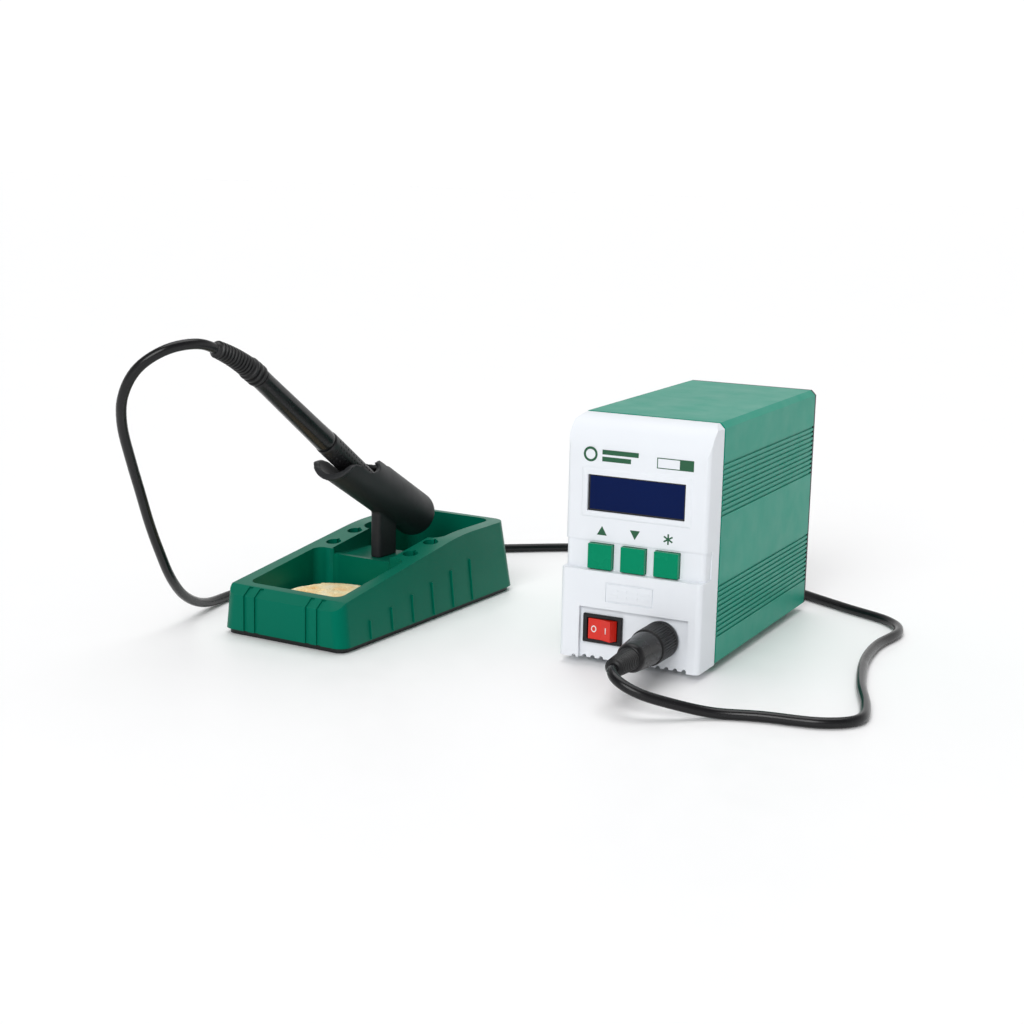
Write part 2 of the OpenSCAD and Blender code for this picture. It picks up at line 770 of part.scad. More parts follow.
module transformer_coil() {
  z0 = case_wall + bracket_t;
  color([0.65, 0.4, 0.12]) in_station() translate([0, transformer_y, z0 + core_h / 2]) difference() {
    slab(core_w * 2 / 3 - 0.4, core_h - core_w / 3 - 0.4, -core_t / 2 - 9, core_t / 2 + 9);
    slab(core_w / 3 + 0.4, core_h, -core_t / 2 - 0.2, core_t / 2 + 0.2);
  }
}

module transformer_bracket() {
  color(steel) in_station() translate([0, transformer_y, case_wall]) difference() {
    union() {
      slab(core_w + 2 * bracket_t, core_h + 2 * bracket_t, -8, 8, 0, core_h / 2 + bracket_t);
      slab(core_w + 2 * bracket_t, bracket_t, -8, core_t / 2 + 10, 0, bracket_t / 2);
    }
    slab(core_w, core_h, -9, core_t, 0, core_h / 2 + bracket_t);
    for (x = [-1, 1]) translate([x * (core_w / 2 - 4), core_t / 2 + 5, -1])
      cylinder(h = 4, r = screw_r + 0.1);
  }
}

module transformer_screws() {
  color(steel) in_station() transformer_screw_places() screw(case_wall + bracket_t + 5);
}

module case_feet() {
  color(soft_black) in_station() foot_places() translate([0, 0, -foot_h]) difference() {
    cylinder(h = foot_h, r = foot_r);
    translate([0, 0, -e]) cylinder(h = foot_h + 1, r = screw_r + 0.1);
    translate([0, 0, -e]) cylinder(h = foot_h - 1.2 + e, r = screw_head_r + 0.3);
  }
}

module case_feet_screws() {
  color(steel) in_station() foot_places() translate([0, 0, -1.2]) screw(1.2 + case_wall + 1.5);
}

// ---------------------------------------------------------------- stand

rim_slope = (rim_back - rim_front) / (rim_flat_y - front_bevel_y);

// Side view of the rim: front chamfer, long slope, a curve, and the flat at the back
module rim_side() {
  y0 = rim_flat_y - rim_blend;
  polygon(concat(
    [[-1, -1], [-1, rim_front - front_bevel_z], [0, rim_front - front_bevel_z], [front_bevel_y, rim_front]],
    [for (i = [0 : 8]) let (t = i / 8, y = y0 + 2 * rim_blend * t)
      [y, rim_front + rim_slope * (y - front_bevel_y) - rim_slope * rim_blend * t * t]],
    [[stand_l + 1, rim_back], [stand_l + 1, -1]]));
}

module stand_outline() {
  h = rim_back + 10;
  side_in = side_draft * h / rim_back;
  back_in = back_draft * h / rim_back;
  back_half = stand_w / 2 - back_corner_r;
  back_y = stand_l - back_corner_r;
  hull() for (x = [-1, 1]) {
    translate([x * corner_half, corner_r, base_plate_t]) cylinder(h = e, r = corner_r, $fn = 40);
    translate([x * (corner_half - side_in), corner_r, h]) cylinder(h = e, r = corner_r, $fn = 40);
    translate([x * back_half, back_y, base_plate_t]) cylinder(h = e, r = back_corner_r, $fn = 48);
    translate([x * (back_half - side_in), back_y - back_in, h]) cylinder(h = e, r = back_corner_r, $fn = 48);
  }
}

module tray_hollow() {
  translate([0, 0, tray_floor]) linear_extrude(60) union() {
    translate([0, tray_y + tray_l / 2]) rounded_rect(2 * tray_half_w, tray_l, 5);
    translate([0, cross_wall_y - 15]) rounded_rect(2 * deck_half_w, 30, 4);
  }
}

// Open over the shelf, then down to the floor of the rear well
module well_hollow() {
  shelf_y0 = cross_wall_y + cross_wall_t;
  translate([-deck_half_w, shelf_y0, shelf_z]) cube([2 * deck_half_w, well_y0 + 10 - shelf_y0, 60]);
  translate([-deck_half_w, cross_wall_y - 1, cross_wall_z]) cube([2 * deck_half_w, cross_wall_t + 2, 60]);
  translate([0, (well_y0 + well_y1) / 2, well_floor]) linear_extrude(60)
    rounded_rect(2 * well_half_w, well_y1 - well_y0, 8);
}

// Space under the shelf, and higher up under the decks on both sides
module under_hollow() {
  y0 = cross_wall_y + 1;
  half = stand_w / 2 - under_wall;
  deck_in = deck_half_w + 1.8;
  translate([-half, y0, 0]) cube([2 * half, shelf_end_y - y0, under_top]);
  for (x = [-half, deck_in]) translate([x, y0, 0]) cube([half - deck_in, shelf_end_y - y0, deck_under_z]);
}

module tip_holes() {
  for (x = [-1, 1], y = tip_hole_y) translate([x * tip_hole_x, y, 0]) {
    cylinder(h = 60, r = tip_hole_r);
    translate([-0.7, 0, 0]) cube([1.4, tip_hole_r + 1.1, 60]);
  }
}

// Upright ribs that lie on the leaning sides
module side_ribs() {
  lean = atan(side_draft / rim_back);
  for (x = [-1, 1], i = [0 : side_rib_count - 1])
    translate([x * stand_w / 2, 24.5 + side_rib_pitch * i, base_plate_t]) rotate([0, -x * lean, 0])
      translate([-0.8, 0, 0.6]) cube([1.6, 1.2, 9.8 + side_rib_pitch * i * rim_slope]);
}

// Upright grooves in the front that run on over its chamfer
module front_grooves() {
  depth = 0.9;
  for (x = [-1, 1], g = groove_x) {
    slab(groove_w, 80, -1, depth, x * g, 40);
    translate([x * g - groove_w / 2, 0, rim_front - front_bevel_z - depth])
      rotate([atan(front_bevel_z / front_bevel_y), 0, 0]) translate([0, -1, 0]) cube([groove_w, 8.4, 5]);
  }
}

module holder_screw_places() {
  for (y = [-1, 1]) translate([0, stem_y + y * 4.5, 0]) children();
}

module plate_screw_places() {
  for (x = [-1, 1], y = [7.5, stand_l - 8.5])
    translate([x * (stand_w / 2 - 9), y, 0]) children();
}

module stand_base() {
  color(stand_green) in_stand() difference() {
    union() {
      intersection() {
        stand_outline();
        along_x(stand_w + 20) rim_side();
      }
      side_ribs();
    }
    tray_hollow();
    well_hollow();
    under_hollow();
    tip_holes();
    front_grooves();
    holder_screw_places() cylinder(h = 60, r = screw_r + 0.1);
    plate_screw_places() cylinder(h = 14, r = screw_r);
  }
}

module stand_base_plate() {
  color(soft_black) in_stand() difference() {
    linear_extrude(base_plate_t) stand_plan(stand_w - 2 * plate_inset, plate_inset, stand_l - plate_inset,
                                            corner_r - plate_inset, back_corner_r - plate_inset);
    plate_screw_places() {
      translate([0, 0, -e]) cylinder(h = 5, r = screw_r + 0.1);
      translate([0, 0, -e]) cylinder(h = base_plate_t - 1 + e, r = screw_head_r + 0.3);
    }
  }
}

module base_plate_screws() {
  color(steel) in_stand() plate_screw_places() translate([0, 0, base_plate_t - 1]) screw(9);
}

module sponge() {
  color([1.0, 0.84, 0.55]) in_stand()
    translate([0, tray_y + sponge_half_l + 0.6, tray_floor]) linear_extrude(sponge_t)
      rounded_rect(2 * sponge_half_w, 2 * sponge_half_l, min(sponge_half_w, sponge_half_l) - 0.5);
}

// What is cut away at the mouth: a low side edge that ends in a hook, then a slot along the top
module mouth_cut() {
  slot_half_w = 0.58 * holder_r;
  rotate([0, -90, 0]) translate([0, 0, -40]) linear_extrude(80)
    polygon([[30, -7.6], [-0.6, -7.6], [-0.8, -5.2], [-2.4, -3.2], [-6, -1.4], [-10.5, -0.6], [-18.5, -0.6],
             [-22, 0.3], [-25.5, 2.6], [-27.2, 5.2], [-25.6, 7], [-29, slot_half_w + 2.6], [-29, 30],
             [30, 30]]);
  translate([-slot_half_w, 5, -38]) cube([2 * slot_half_w, 20, 20]);
  translate([0, 5, -38]) rotate([-90, 0, 0]) cylinder(h = 20, r = slot_half_w);
}

module iron_holder() {
  color([0.13, 0.13, 0.14]) difference() {
    union() {
      on_holder() translate([0, 0, -holder_l]) rotate_extrude($fn = 96) union() {
        square([holder_r - holder_end_r, holder_l - holder_end_r]);
        translate([0, holder_end_r]) square([holder_r, holder_l - holder_end_r]);
        intersection() {
          translate([holder_r - holder_end_r, holder_end_r]) circle(holder_end_r);
          square([holder_r, holder_end_r + e]);
        }
      }
      on_holder() translate([0, 0, -2.2]) cylinder(h = 2.2, r = holder_r + 0.9);
      in_stand() translate([0, stem_y, shelf_z]) linear_extrude(stem_h) rounded_rect(stem_w, stem_l, stem_r);
    }
    on_holder() translate([0, 0, -holder_l + 4]) cylinder(h = holder_l, r = holder_bore_r);
    on_holder() mouth_cut();
    in_stand() holder_screw_places() translate([0, 0, shelf_z - e]) cylinder(h = 14, r = screw_r);
  }
}

module holder_screws() {
  color(steel) in_stand() holder_screw_places() translate([0, 0, under_top]) screw(shelf_z - under_top + 11);
}

// ---------------------------------------------------------------- iron

module handle_shell() {
  color(soft_black) on_iron() difference() {
    union() {
      cylinder(h = handle_l, r1 = handle_r_front, r2 = handle_r_back);
      translate([0, 0, -grip_l]) cylinder(h = grip_l + 1, r = core_r);
    }
    translate([0, 0, -grip_l - 1]) cylinder(h = grip_l + handle_l + 2, r = handle_bore_r);
  }
}

module grip_sleeve() {
  color([0.07, 0.07, 0.08]) on_iron() translate([0, 0, -grip_l + 0.4]) ring(grip_r, core_r, grip_l - 0.8);
}

module barrel_nut() {
  color([0.15, 0.15, 0.16]) on_iron() translate([0, 0, -grip_l - nut_l]) difference() {
    cylinder(h = nut_l, r = core_r + 0.3);
    translate([0, 0, -1]) cylinder(h = nut_l + 2, r = barrel_r + 0.1);
    translate([0, 0, nut_l - 2.2]) cylinder(h = 3, r = handle_bore_r);
  }
}

module barrel() {
  color(steel) on_iron() translate([0, 0, -grip_l - barrel_l]) difference() {
    union() {
      cylinder(h = barrel_l - 1.2, r = barrel_r);
      translate([0, 0, barrel_l - 2.2]) cylinder(h = 1.4, r = handle_bore_r - 0.1);
    }
    translate([0, 0, -1]) cylinder(h = barrel_l + 2, r = tip_r + 0.1);
  }
}

module heater_element() {
  color([0.92, 0.9, 0.85]) on_iron() union() {
    translate([0, 0, -tip_end + 22]) cylinder(h = tip_end - 22 - grip_l + 2, r = 1.6);
    translate([0, 0, -grip_l + 1]) cylinder(h = 3, r = handle_bore_r - 0.1);
  }
}

module soldering_tip() {
  color([0.72, 0.72, 0.74]) on_iron() translate([0, 0, -tip_end]) difference() {
    union() {
      translate([0, 0, 14]) cylinder(h = 30, r = tip_r);
      cylinder(h = 14 + e, r1 = 0.5, r2 = tip_r);
    }
    translate([0, 0, 20]) cylinder(h = 30, r = 1.7);
  }
}

module handle_board() {
  color(board_green) on_iron() translate([-3.2, -0.5, 10]) cube([6.4, 1, 30]);
}

module heater_leads() {
  color([0.7, 0.1, 0.1]) on_iron() for (x = [-1, 1])
    translate([1.4 * x, -1.1, -grip_l + 4]) cylinder(h = grip_l + 12, r = 0.5, $fn = 16);
}

// The strain relief tapers and bends a little under the cord's pull
module cord_boot() {
  rings = 12;
  sides = 20;
  bend_r = boot_l / (boot_bend * PI / 180);
  root = handle_l - 8;
  sections = concat(
    [[0, 0, root, 0, handle_bore_r - 0.05], [0, 0, handle_l, 0, handle_bore_r - 0.05]],
    [for (i = [0 : rings]) let (a = boot_bend * i / rings)
      [0, -bend_r * (1 - cos(a)), handle_l + bend_r * sin(a) + 0.05, a,
       handle_r_back - (handle_r_back - cord_d / 2 - 0.9) * i / rings]]);
  points = [for (s = sections)
    each ring_points([s[0], s[1], s[2]], [0, -sin(s[3]), cos(s[3])], s[4], sides, [0, 1, 0])];
  color(soft_black) on_iron() polyhedron(points, tube_faces(len(sections), sides));
}

// ---------------------------------------------------------------- cord and plug

arch_points = route_points(arch_route);
floor_points = route_points(floor_route);
join_dir = unit(floor_route[1] - arch_route[len(arch_route) - 2]);

module cord_arch() {
  n = len(arch_points);
  trimmed = [for (i = [0 : n - 1]) i < n - 1 ? arch_points[i] : arch_points[i] - 0.2 * join_dir];
  color(soft_black) swept_cord(trimmed, unit(arch_route[1] - arch_route[0]), join_dir);
}

module cord_floor() {
  color(soft_black) swept_cord(floor_points, join_dir, [0, 1, 0]);
}

module plug_ring() {
  color([0.06, 0.06, 0.06]) on_socket() translate([0, 0, ring_z0]) difference() {
    cylinder(h = ring_l, r = ring_r);
    translate([0, 0, -e]) cylinder(h = ring_l - 2.5, r = socket_r + run_fit);
    translate([0, 0, ring_l - 3]) cylinder(h = 4, r = socket_bore_r - 0.2 + run_fit);
  }
}

module plug_body() {
  color([0.2, 0.2, 0.21]) on_socket() difference() {
    union() {
      translate([0, 0, 2]) cylinder(h = body_z0 - 2 + e, r = socket_bore_r - 0.2);
      translate([0, 0, ring_z0 + ring_l - 4.6]) cylinder(h = 2, r = socket_r - 0.3);
      translate([0, 0, body_z0]) cylinder(h = plug_body_l - 2, r1 = ring_r - 0.8, r2 = ring_r - 2.2);
      translate([0, 0, body_z1 - 2]) cylinder(h = 2, r1 = ring_r - 2.2, r2 = ring_r - 3.2);
    }
    translate([0, 0, 1]) cylinder(h = boot_z1, r = socket_bore_r - 1.6);
  }
}

module plug_boot() {
  root = 6;
  color(soft_black) on_socket() translate([0, 0, body_z1 - root]) difference() {
    union() {
      cylinder(h = root + 0.1, r = socket_bore_r - 1.65);
      translate([0, 0, root + 0.05]) cylinder(h = plug_boot_l, r1 = 5.8, r2 = cord_d / 2 + 1.6);
    }
    translate([0, 0, -1]) cylinder(h = root + 8, r = 2.2);
  }
}

module plug_insulator() {
  color([0.15, 0.15, 0.15]) on_socket() difference() {
    translate([0, 0, 3]) cylinder(h = 8, r = socket_bore_r - 1.65);
    pin_places() translate([0, 0, 2]) cylinder(h = 10, r = pin_r + run_fit, $fn = 24);
  }
}

// ---------------------------------------------------------------- nodes

case_shell();
front_fascia();
fascia_screws();
rear_panel();
rear_panel_screws();
display_lens();
lcd_module();
lcd_carrier();
front_board();
front_board_screws();
tactile_switches();
button_up();
button_down();
button_set();
switch_body();
switch_rocker();
switch_terminals();
socket_shell();
socket_nut();
socket_insulator();
socket_pins();
mains_inlet();
inlet_pins();
inlet_screws();
power_board();
heat_sink();
capacitors();
fuse();
transformer_core();
transformer_coil();
transformer_bracket();
transformer_screws();
case_feet();
case_feet_screws();
stand_base();
stand_base_plate();
base_plate_screws();
sponge();
iron_holder();
holder_screws();
handle_shell();
grip_sleeve();
barrel_nut();
barrel();
heater_element();
soldering_tip();
handle_board();
heater_leads();
cord_boot();
cord_arch();
cord_floor();
plug_ring();
plug_body();
plug_boot();
plug_insulator();
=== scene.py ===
"""Soldering iron station: the looks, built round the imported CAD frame."""
import json
import math
import random
import bmesh
import bpy
from mathutils import Matrix, Vector


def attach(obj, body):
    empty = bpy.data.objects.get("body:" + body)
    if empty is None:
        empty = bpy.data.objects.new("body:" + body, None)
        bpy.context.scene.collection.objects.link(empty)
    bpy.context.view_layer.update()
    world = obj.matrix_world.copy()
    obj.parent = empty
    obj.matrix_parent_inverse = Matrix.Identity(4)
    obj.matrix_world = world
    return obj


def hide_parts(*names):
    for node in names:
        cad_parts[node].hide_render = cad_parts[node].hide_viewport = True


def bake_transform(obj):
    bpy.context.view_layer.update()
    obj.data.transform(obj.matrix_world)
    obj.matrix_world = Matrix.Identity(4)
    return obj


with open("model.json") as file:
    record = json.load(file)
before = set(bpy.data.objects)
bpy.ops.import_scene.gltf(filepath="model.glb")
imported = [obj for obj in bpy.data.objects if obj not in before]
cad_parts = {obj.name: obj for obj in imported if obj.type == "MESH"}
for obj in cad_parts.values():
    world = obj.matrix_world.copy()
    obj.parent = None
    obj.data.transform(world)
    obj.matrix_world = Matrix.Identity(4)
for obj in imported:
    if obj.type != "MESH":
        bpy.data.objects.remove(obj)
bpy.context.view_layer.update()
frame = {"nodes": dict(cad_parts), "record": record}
nodes = frame["nodes"]
MM = 0.001

# Local frames of the CAD model, and the faces of the unit's front in the unit's frame, in millimetres
TURN = math.radians(-3.5)
HOLDER_TILT = math.radians(30)
IRON_TURN = math.radians(5.5)
STATION = Matrix.Translation((88.718, -12, 4))
STAND = Matrix.Translation((-87.707, -82.5, 0)) @ Matrix.Rotation(TURN, 4, "Z")
HOLDER = STAND @ Matrix.Translation((0, 47, 93.8)) @ Matrix.Rotation(math.pi / 2 - HOLDER_TILT, 4, "X")
IRON = HOLDER @ Matrix.Translation((0, 3.5, 11.3)) @ Matrix.Rotation(-IRON_TURN, 4, "X")
SOCKET = STATION @ Matrix.Translation((17.5, -20.6, 15.5)) @ Matrix.Rotation(math.pi / 2, 4, "X")
PANEL_FACE = -19.0
APRON_FACE = -23.2
PRINT = 0.06


# ------------------------------------------------------------------ camera and light

def add_camera():
    yaw, pitch, roll = (math.radians(a) for a in (-26.753, 11.674, 1.277))
    forward = Vector((math.sin(yaw) * math.cos(pitch), math.cos(yaw) * math.cos(pitch), -math.sin(pitch)))
    level = forward.cross(Vector((0, 0, 1))).normalized()
    above = level.cross(forward)
    right = level * math.cos(roll) + above * math.sin(roll)
    up = above * math.cos(roll) - level * math.sin(roll)
    data = bpy.data.cameras.new("camera")
    data.lens = 63.15
    data.sensor_width = 36
    data.clip_end = 20
    cam = bpy.data.objects.new("camera", data)
    turn = Matrix((right, up, -forward)).transposed().to_4x4()
    cam.matrix_world = Matrix.Translation((0.4274, -0.8392, 0.2610)) @ turn
    bpy.context.scene.collection.objects.link(cam)
    bpy.context.scene.camera = cam


def add_studio():
    """A pale room: white behind the object, dimmer overhead and in front, and two wide soft lights."""
    world = bpy.data.worlds.new("studio")
    bpy.context.scene.world = world
    world.use_nodes = True
    tree = world.node_tree
    where = tree.nodes.new("ShaderNodeTexCoord")
    split = tree.nodes.new("ShaderNodeSeparateXYZ")
    tree.links.new(where.outputs["Generated"], split.inputs["Vector"])
    total = tree.nodes.new("ShaderNodeMath")
    total.operation = "MULTIPLY"
    fades = (("Z", 0.12, 0.75, 1.05, 0.35), ("Y", -0.35, 0.3, 0.5, 1.0))
    for k, (axis, start, end, low, high) in enumerate(fades):
        ramp = tree.nodes.new("ShaderNodeMapRange")
        ramp.interpolation_type = "SMOOTHSTEP"
        ramp.inputs["From Min"].default_value = start
        ramp.inputs["From Max"].default_value = end
        ramp.inputs["To Min"].default_value = low
        ramp.inputs["To Max"].default_value = high
        tree.links.new(split.outputs[axis], ramp.inputs["Value"])
        tree.links.new(ramp.outputs["Result"], total.inputs[k])
    tree.links.new(total.outputs["Value"], tree.nodes["Background"].inputs["Strength"])
    tree.nodes["Background"].inputs["Color"].default_value = (1, 1, 1, 1)
    for name, energy, angle, towards in (("soft_overhead", 1.35, 50, (0.1, -0.2, -1)),
                                         ("soft_front", 1.75, 35, (-0.10, 0.75, -0.50))):
        data = bpy.data.lights.new(name, "SUN")
        data.energy = energy
        data.angle = math.radians(angle)
        lamp = bpy.data.objects.new(name, data)
        lamp.rotation_euler = Vector(towards).to_track_quat("-Z", "Y").to_euler()
        bpy.context.scene.collection.objects.link(lamp)
    bpy.context.scene.view_settings.view_transform = "Standard"
    mesh = bpy.data.meshes.new("floor")
    s = 8
    mesh.from_pydata([(-s, -s, 0), (s, -s, 0), (s, s, 0), (-s, s, 0)], [], [(0, 1, 2, 3)])
    floor = bpy.data.objects.new("floor", mesh)
    bpy.context.scene.collection.objects.link(floor)
    floor.data.materials.append(material("floor", (0.94, 0.94, 0.945), 0.5, tone=0.004, grain=(60, 0.0)))


# ------------------------------------------------------------------ materials

class Nodes:
    """A material's node tree, with short calls."""

    def __init__(self, name):
        self.material = bpy.data.materials.new(name)
        self.material.use_nodes = True
        self.tree = self.material.node_tree
        self.shader = self.tree.nodes["Principled BSDF"]
        self.place = self.add("ShaderNodeTexCoord").outputs["Object"]

    def add(self, kind, **settings):
        node = self.tree.nodes.new(kind)
        for key, value in settings.items():
            setattr(node, key, value)
        return node

    def link(self, source, target):
        self.tree.links.new(source, target)

    def noise(self, scale, detail=3, stretch=None):
        node = self.add("ShaderNodeTexNoise")
        node.inputs["Scale"].default_value = scale
        node.inputs["Detail"].default_value = detail
        source = self.place
        if stretch:
            mapping = self.add("ShaderNodeMapping")
            mapping.inputs["Scale"].default_value = stretch
            self.link(source, mapping.inputs["Vector"])
            source = mapping.outputs["Vector"]
        self.link(source, node.inputs["Vector"])
        return node.outputs["Fac"]

    def ramp(self, source, low, high, start=0.3, end=0.7):
        node = self.add("ShaderNodeMapRange")
        node.inputs["From Min"].default_value = start
        node.inputs["From Max"].default_value = end
        node.inputs["To Min"].default_value = low
        node.inputs["To Max"].default_value = high
        self.link(source, node.inputs["Value"])
        return node.outputs["Result"]

    def colours(self, source, stops):
        node = self.add("ShaderNodeValToRGB")
        while len(node.color_ramp.elements) < len(stops):
            node.color_ramp.elements.new(0.5)
        for element, (where, colour) in zip(node.color_ramp.elements, stops):
            element.position = where
            element.color = (*colour, 1)
        self.link(source, node.inputs["Fac"])
        return node.outputs["Color"]

    def bump(self, height, strength, distance, below=None):
        node = self.add("ShaderNodeBump")
        node.inputs["Strength"].default_value = strength
        node.inputs["Distance"].default_value = distance
        self.link(height, node.inputs["Height"])
        if below:
            self.link(below, node.inputs["Normal"])
        return node.outputs["Normal"]


def shade(colour, factor):
    return tuple(min(1, c * factor) for c in colour)


def material(name, colour, rough, tone=0.05, grain=(2500, 0.15), spread=0.06, metallic=0, specular=0.5,
             stretch=None, scuff=0.0, sheen=(1, 1, 1)):
    """A moulded, painted or machined surface: uneven tone, uneven roughness, fine grain and light scuffs."""
    n = Nodes(name)
    broad = n.noise(18, 4)
    fine = n.noise(grain[0], 2, stretch)
    n.link(n.colours(broad, [(0.3, shade(colour, 1 - tone)), (0.7, shade(colour, 1 + tone))]),
           n.shader.inputs["Base Color"])
    patches = n.noise(70, 5, stretch and tuple(s * 0.2 for s in stretch))
    if scuff:
        marks = n.ramp(n.noise(420, 6, (1, 1, 0.15)), 0, scuff, 0.62, 0.8)
        total = n.add("ShaderNodeMath", operation="ADD")
        n.link(n.ramp(patches, rough - spread, rough + spread), total.inputs[0])
        n.link(marks, total.inputs[1])
        n.link(total.outputs[0], n.shader.inputs["Roughness"])
    else:
        n.link(n.ramp(patches, max(0.02, rough - spread), rough + spread), n.shader.inputs["Roughness"])
    if grain[1]:
        n.link(n.bump(fine, grain[1], 0.00008), n.shader.inputs["Normal"])
    n.shader.inputs["Metallic"].default_value = metallic
    n.shader.inputs["Specular IOR Level"].default_value = specular
    n.shader.inputs["Specular Tint"].default_value = (*sheen, 1)
    return n.material


def sponge_material():
    n = Nodes("cellulose")
    pores = n.add("ShaderNodeTexVoronoi")
    pores.inputs["Scale"].default_value = 900
    n.link(n.place, pores.inputs["Vector"])
    patches = n.noise(85, 6)
    tint = n.colours(patches, [(0.2, (0.80, 0.33, 0.08)), (0.4, (1.0, 0.66, 0.30)), (0.55, (1.0, 0.82, 0.48)),
                               (0.75, (1.0, 0.92, 0.70))])
    # painted shade: the colour is darkened in the pores, whose depth is only a bump, to stand for the shade
    # inside them
    painted_pore_shade = n.colours(pores.outputs["Distance"], [(0.08, (0.7, 0.66, 0.6)), (0.35, (1, 1, 1))])
    mix = n.add("ShaderNodeMix", data_type="RGBA", blend_type="MULTIPLY")
    mix.inputs["Factor"].default_value = 0.45
    n.link(tint, mix.inputs["A"])
    n.link(painted_pore_shade, mix.inputs["B"])
    n.link(mix.outputs["Result"], n.shader.inputs["Base Color"])
    n.shader.inputs["Roughness"].default_value = 0.95
    n.shader.inputs["Specular IOR Level"].default_value = 0.2
    coarse = n.bump(pores.outputs["Distance"], 0.8, 0.0005)
    n.link(n.bump(n.noise(2600, 3), 0.5, 0.0002, coarse), n.shader.inputs["Normal"])
    return n.material


def barrel_material():
    """Steel, tinted by heat towards the tip."""
    n = Nodes("heated_steel")
    split = n.add("ShaderNodeSeparateXYZ")
    n.link(n.place, split.inputs["Vector"])
    tint = n.colours(n.ramp(split.outputs["Z"], 0, 1, 0.045, 0.075),
                     [(0.0, (0.35, 0.26, 0.20)), (0.35, (0.50, 0.40, 0.26)), (0.7, (0.60, 0.59, 0.57)),
                      (1.0, (0.62, 0.62, 0.63))])
    n.link(tint, n.shader.inputs["Base Color"])
    n.shader.inputs["Metallic"].default_value = 1
    n.link(n.ramp(n.noise(400, 4), 0.22, 0.40), n.shader.inputs["Roughness"])
    n.link(n.bump(n.noise(3000, 2), 0.08, 0.00005), n.shader.inputs["Normal"])
    return n.material


def board_material():
    n = Nodes("circuit_board")
    tracks = n.add("ShaderNodeTexBrick")
    tracks.inputs["Scale"].default_value = 120
    tracks.inputs["Mortar Size"].default_value = 0.03
    tracks.inputs["Color1"].default_value = (0.02, 0.16, 0.07, 1)
    tracks.inputs["Color2"].default_value = (0.025, 0.19, 0.08, 1)
    tracks.inputs["Mortar"].default_value = (0.04, 0.26, 0.11, 1)
    n.link(n.place, tracks.inputs["Vector"])
    n.link(tracks.outputs["Color"], n.shader.inputs["Base Color"])
    n.link(n.ramp(n.noise(300, 3), 0.25, 0.45), n.shader.inputs["Roughness"])
    return n.material


look = {}


def paint(name, *values, **options):
    look[name] = material(name, *values, **options)


paint("green_metal", (0.004, 0.255, 0.172), 0.42, 0.03, (1900, 0.22), 0.04, specular=0.35,
      scuff=0.05, sheen=(0.15, 1, 0.85))
paint("white_plastic", (0.76, 0.79, 0.83), 0.42, 0.012, (3200, 0.12), 0.05, specular=0.4)
paint("green_plastic", (0.0005, 0.125, 0.076), 0.36, 0.05, (2600, 0.14), 0.05, specular=0.25,
      scuff=0.08, sheen=(0.05, 1, 0.75))
paint("green_gloss", (0.0005, 0.205, 0.098), 0.26, 0.03, (3500, 0.06), 0.04, specular=0.5,
      sheen=(0.1, 1, 0.6))
paint("black_metal", (0.016, 0.017, 0.019), 0.50, 0.12, (2200, 0.3), 0.06, specular=0.32, scuff=0.1)
paint("black_plastic", (0.009, 0.009, 0.010), 0.38, 0.1, (2800, 0.15), 0.06, specular=0.3)
paint("rubber", (0.009, 0.009, 0.010), 0.40, 0.12, (2400, 0.2), 0.07, specular=0.35)
paint("steel", (0.55, 0.56, 0.58), 0.30, 0.05, (1400, 0.1), 0.07, metallic=1, stretch=(1, 1, 12))
paint("tip_plating", (0.60, 0.59, 0.58), 0.22, 0.06, (1600, 0.08), 0.08, metallic=1)
paint("red_plastic", (0.62, 0.022, 0.012), 0.24, 0.04, (3500, 0.05), 0.04, specular=0.35)
paint("display_window", (0.0005, 0.008, 0.062), 0.16, 0.06, (800, 0.0), 0.03, specular=0.08)
paint("display", (0.001, 0.010, 0.075), 0.2, 0.05, (800, 0.0), 0.03)
paint("contacts", (0.72, 0.50, 0.18), 0.25, 0.06, (1600, 0.08), 0.06, metallic=1)
look["circuit_board"] = board_material()
paint("aluminium", (0.62, 0.63, 0.65), 0.32, 0.04, (1200, 0.12), 0.06, metallic=1, stretch=(1, 12, 1))
paint("capacitor_sleeve", (0.02, 0.025, 0.10), 0.25, 0.05, (900, 0.04), 0.05)
paint("fuse_glass", (0.7, 0.72, 0.72), 0.08, 0.03, (900, 0.0), 0.02)
paint("core_steel", (0.07, 0.07, 0.075), 0.45, 0.1, (1500, 0.5), 0.08, metallic=1, stretch=(1, 40, 1))
paint("winding", (0.42, 0.16, 0.04), 0.3, 0.1, (1200, 0.6), 0.05, metallic=0.6, stretch=(1, 1, 30))
paint("ceramic", (0.78, 0.74, 0.66), 0.5, 0.03, (1500, 0.1), 0.05)
paint("lead_insulation", (0.35, 0.02, 0.015), 0.4, 0.05, (1500, 0.05), 0.05)
look["cellulose"] = sponge_material()
look["barrel"] = barrel_material()
paint("cord", (0.006, 0.006, 0.007), 0.25, 0.1, (1500, 0.10), 0.06, specular=0.3)
paint("handle", (0.010, 0.010, 0.011), 0.27, 0.1, (2800, 0.10), 0.05, specular=0.25)
paint("print_green", (0.004, 0.085, 0.032), 0.45, 0.04, (2500, 0.05), 0.04)
paint("print_white", (0.82, 0.82, 0.80), 0.45, 0.02, (2500, 0.05), 0.04)
paint("print_black", (0.006, 0.006, 0.008), 0.25, 0.05, (2500, 0.05), 0.04)
node_slot = {s["node"]: s["material_slot"] for s in frame["record"]["subparts"]}
node_look = {"barrel": "barrel", "handle_shell": "handle", "cord_arch": "cord", "cord_floor": "cord"}


# ------------------------------------------------------------------ mesh tools

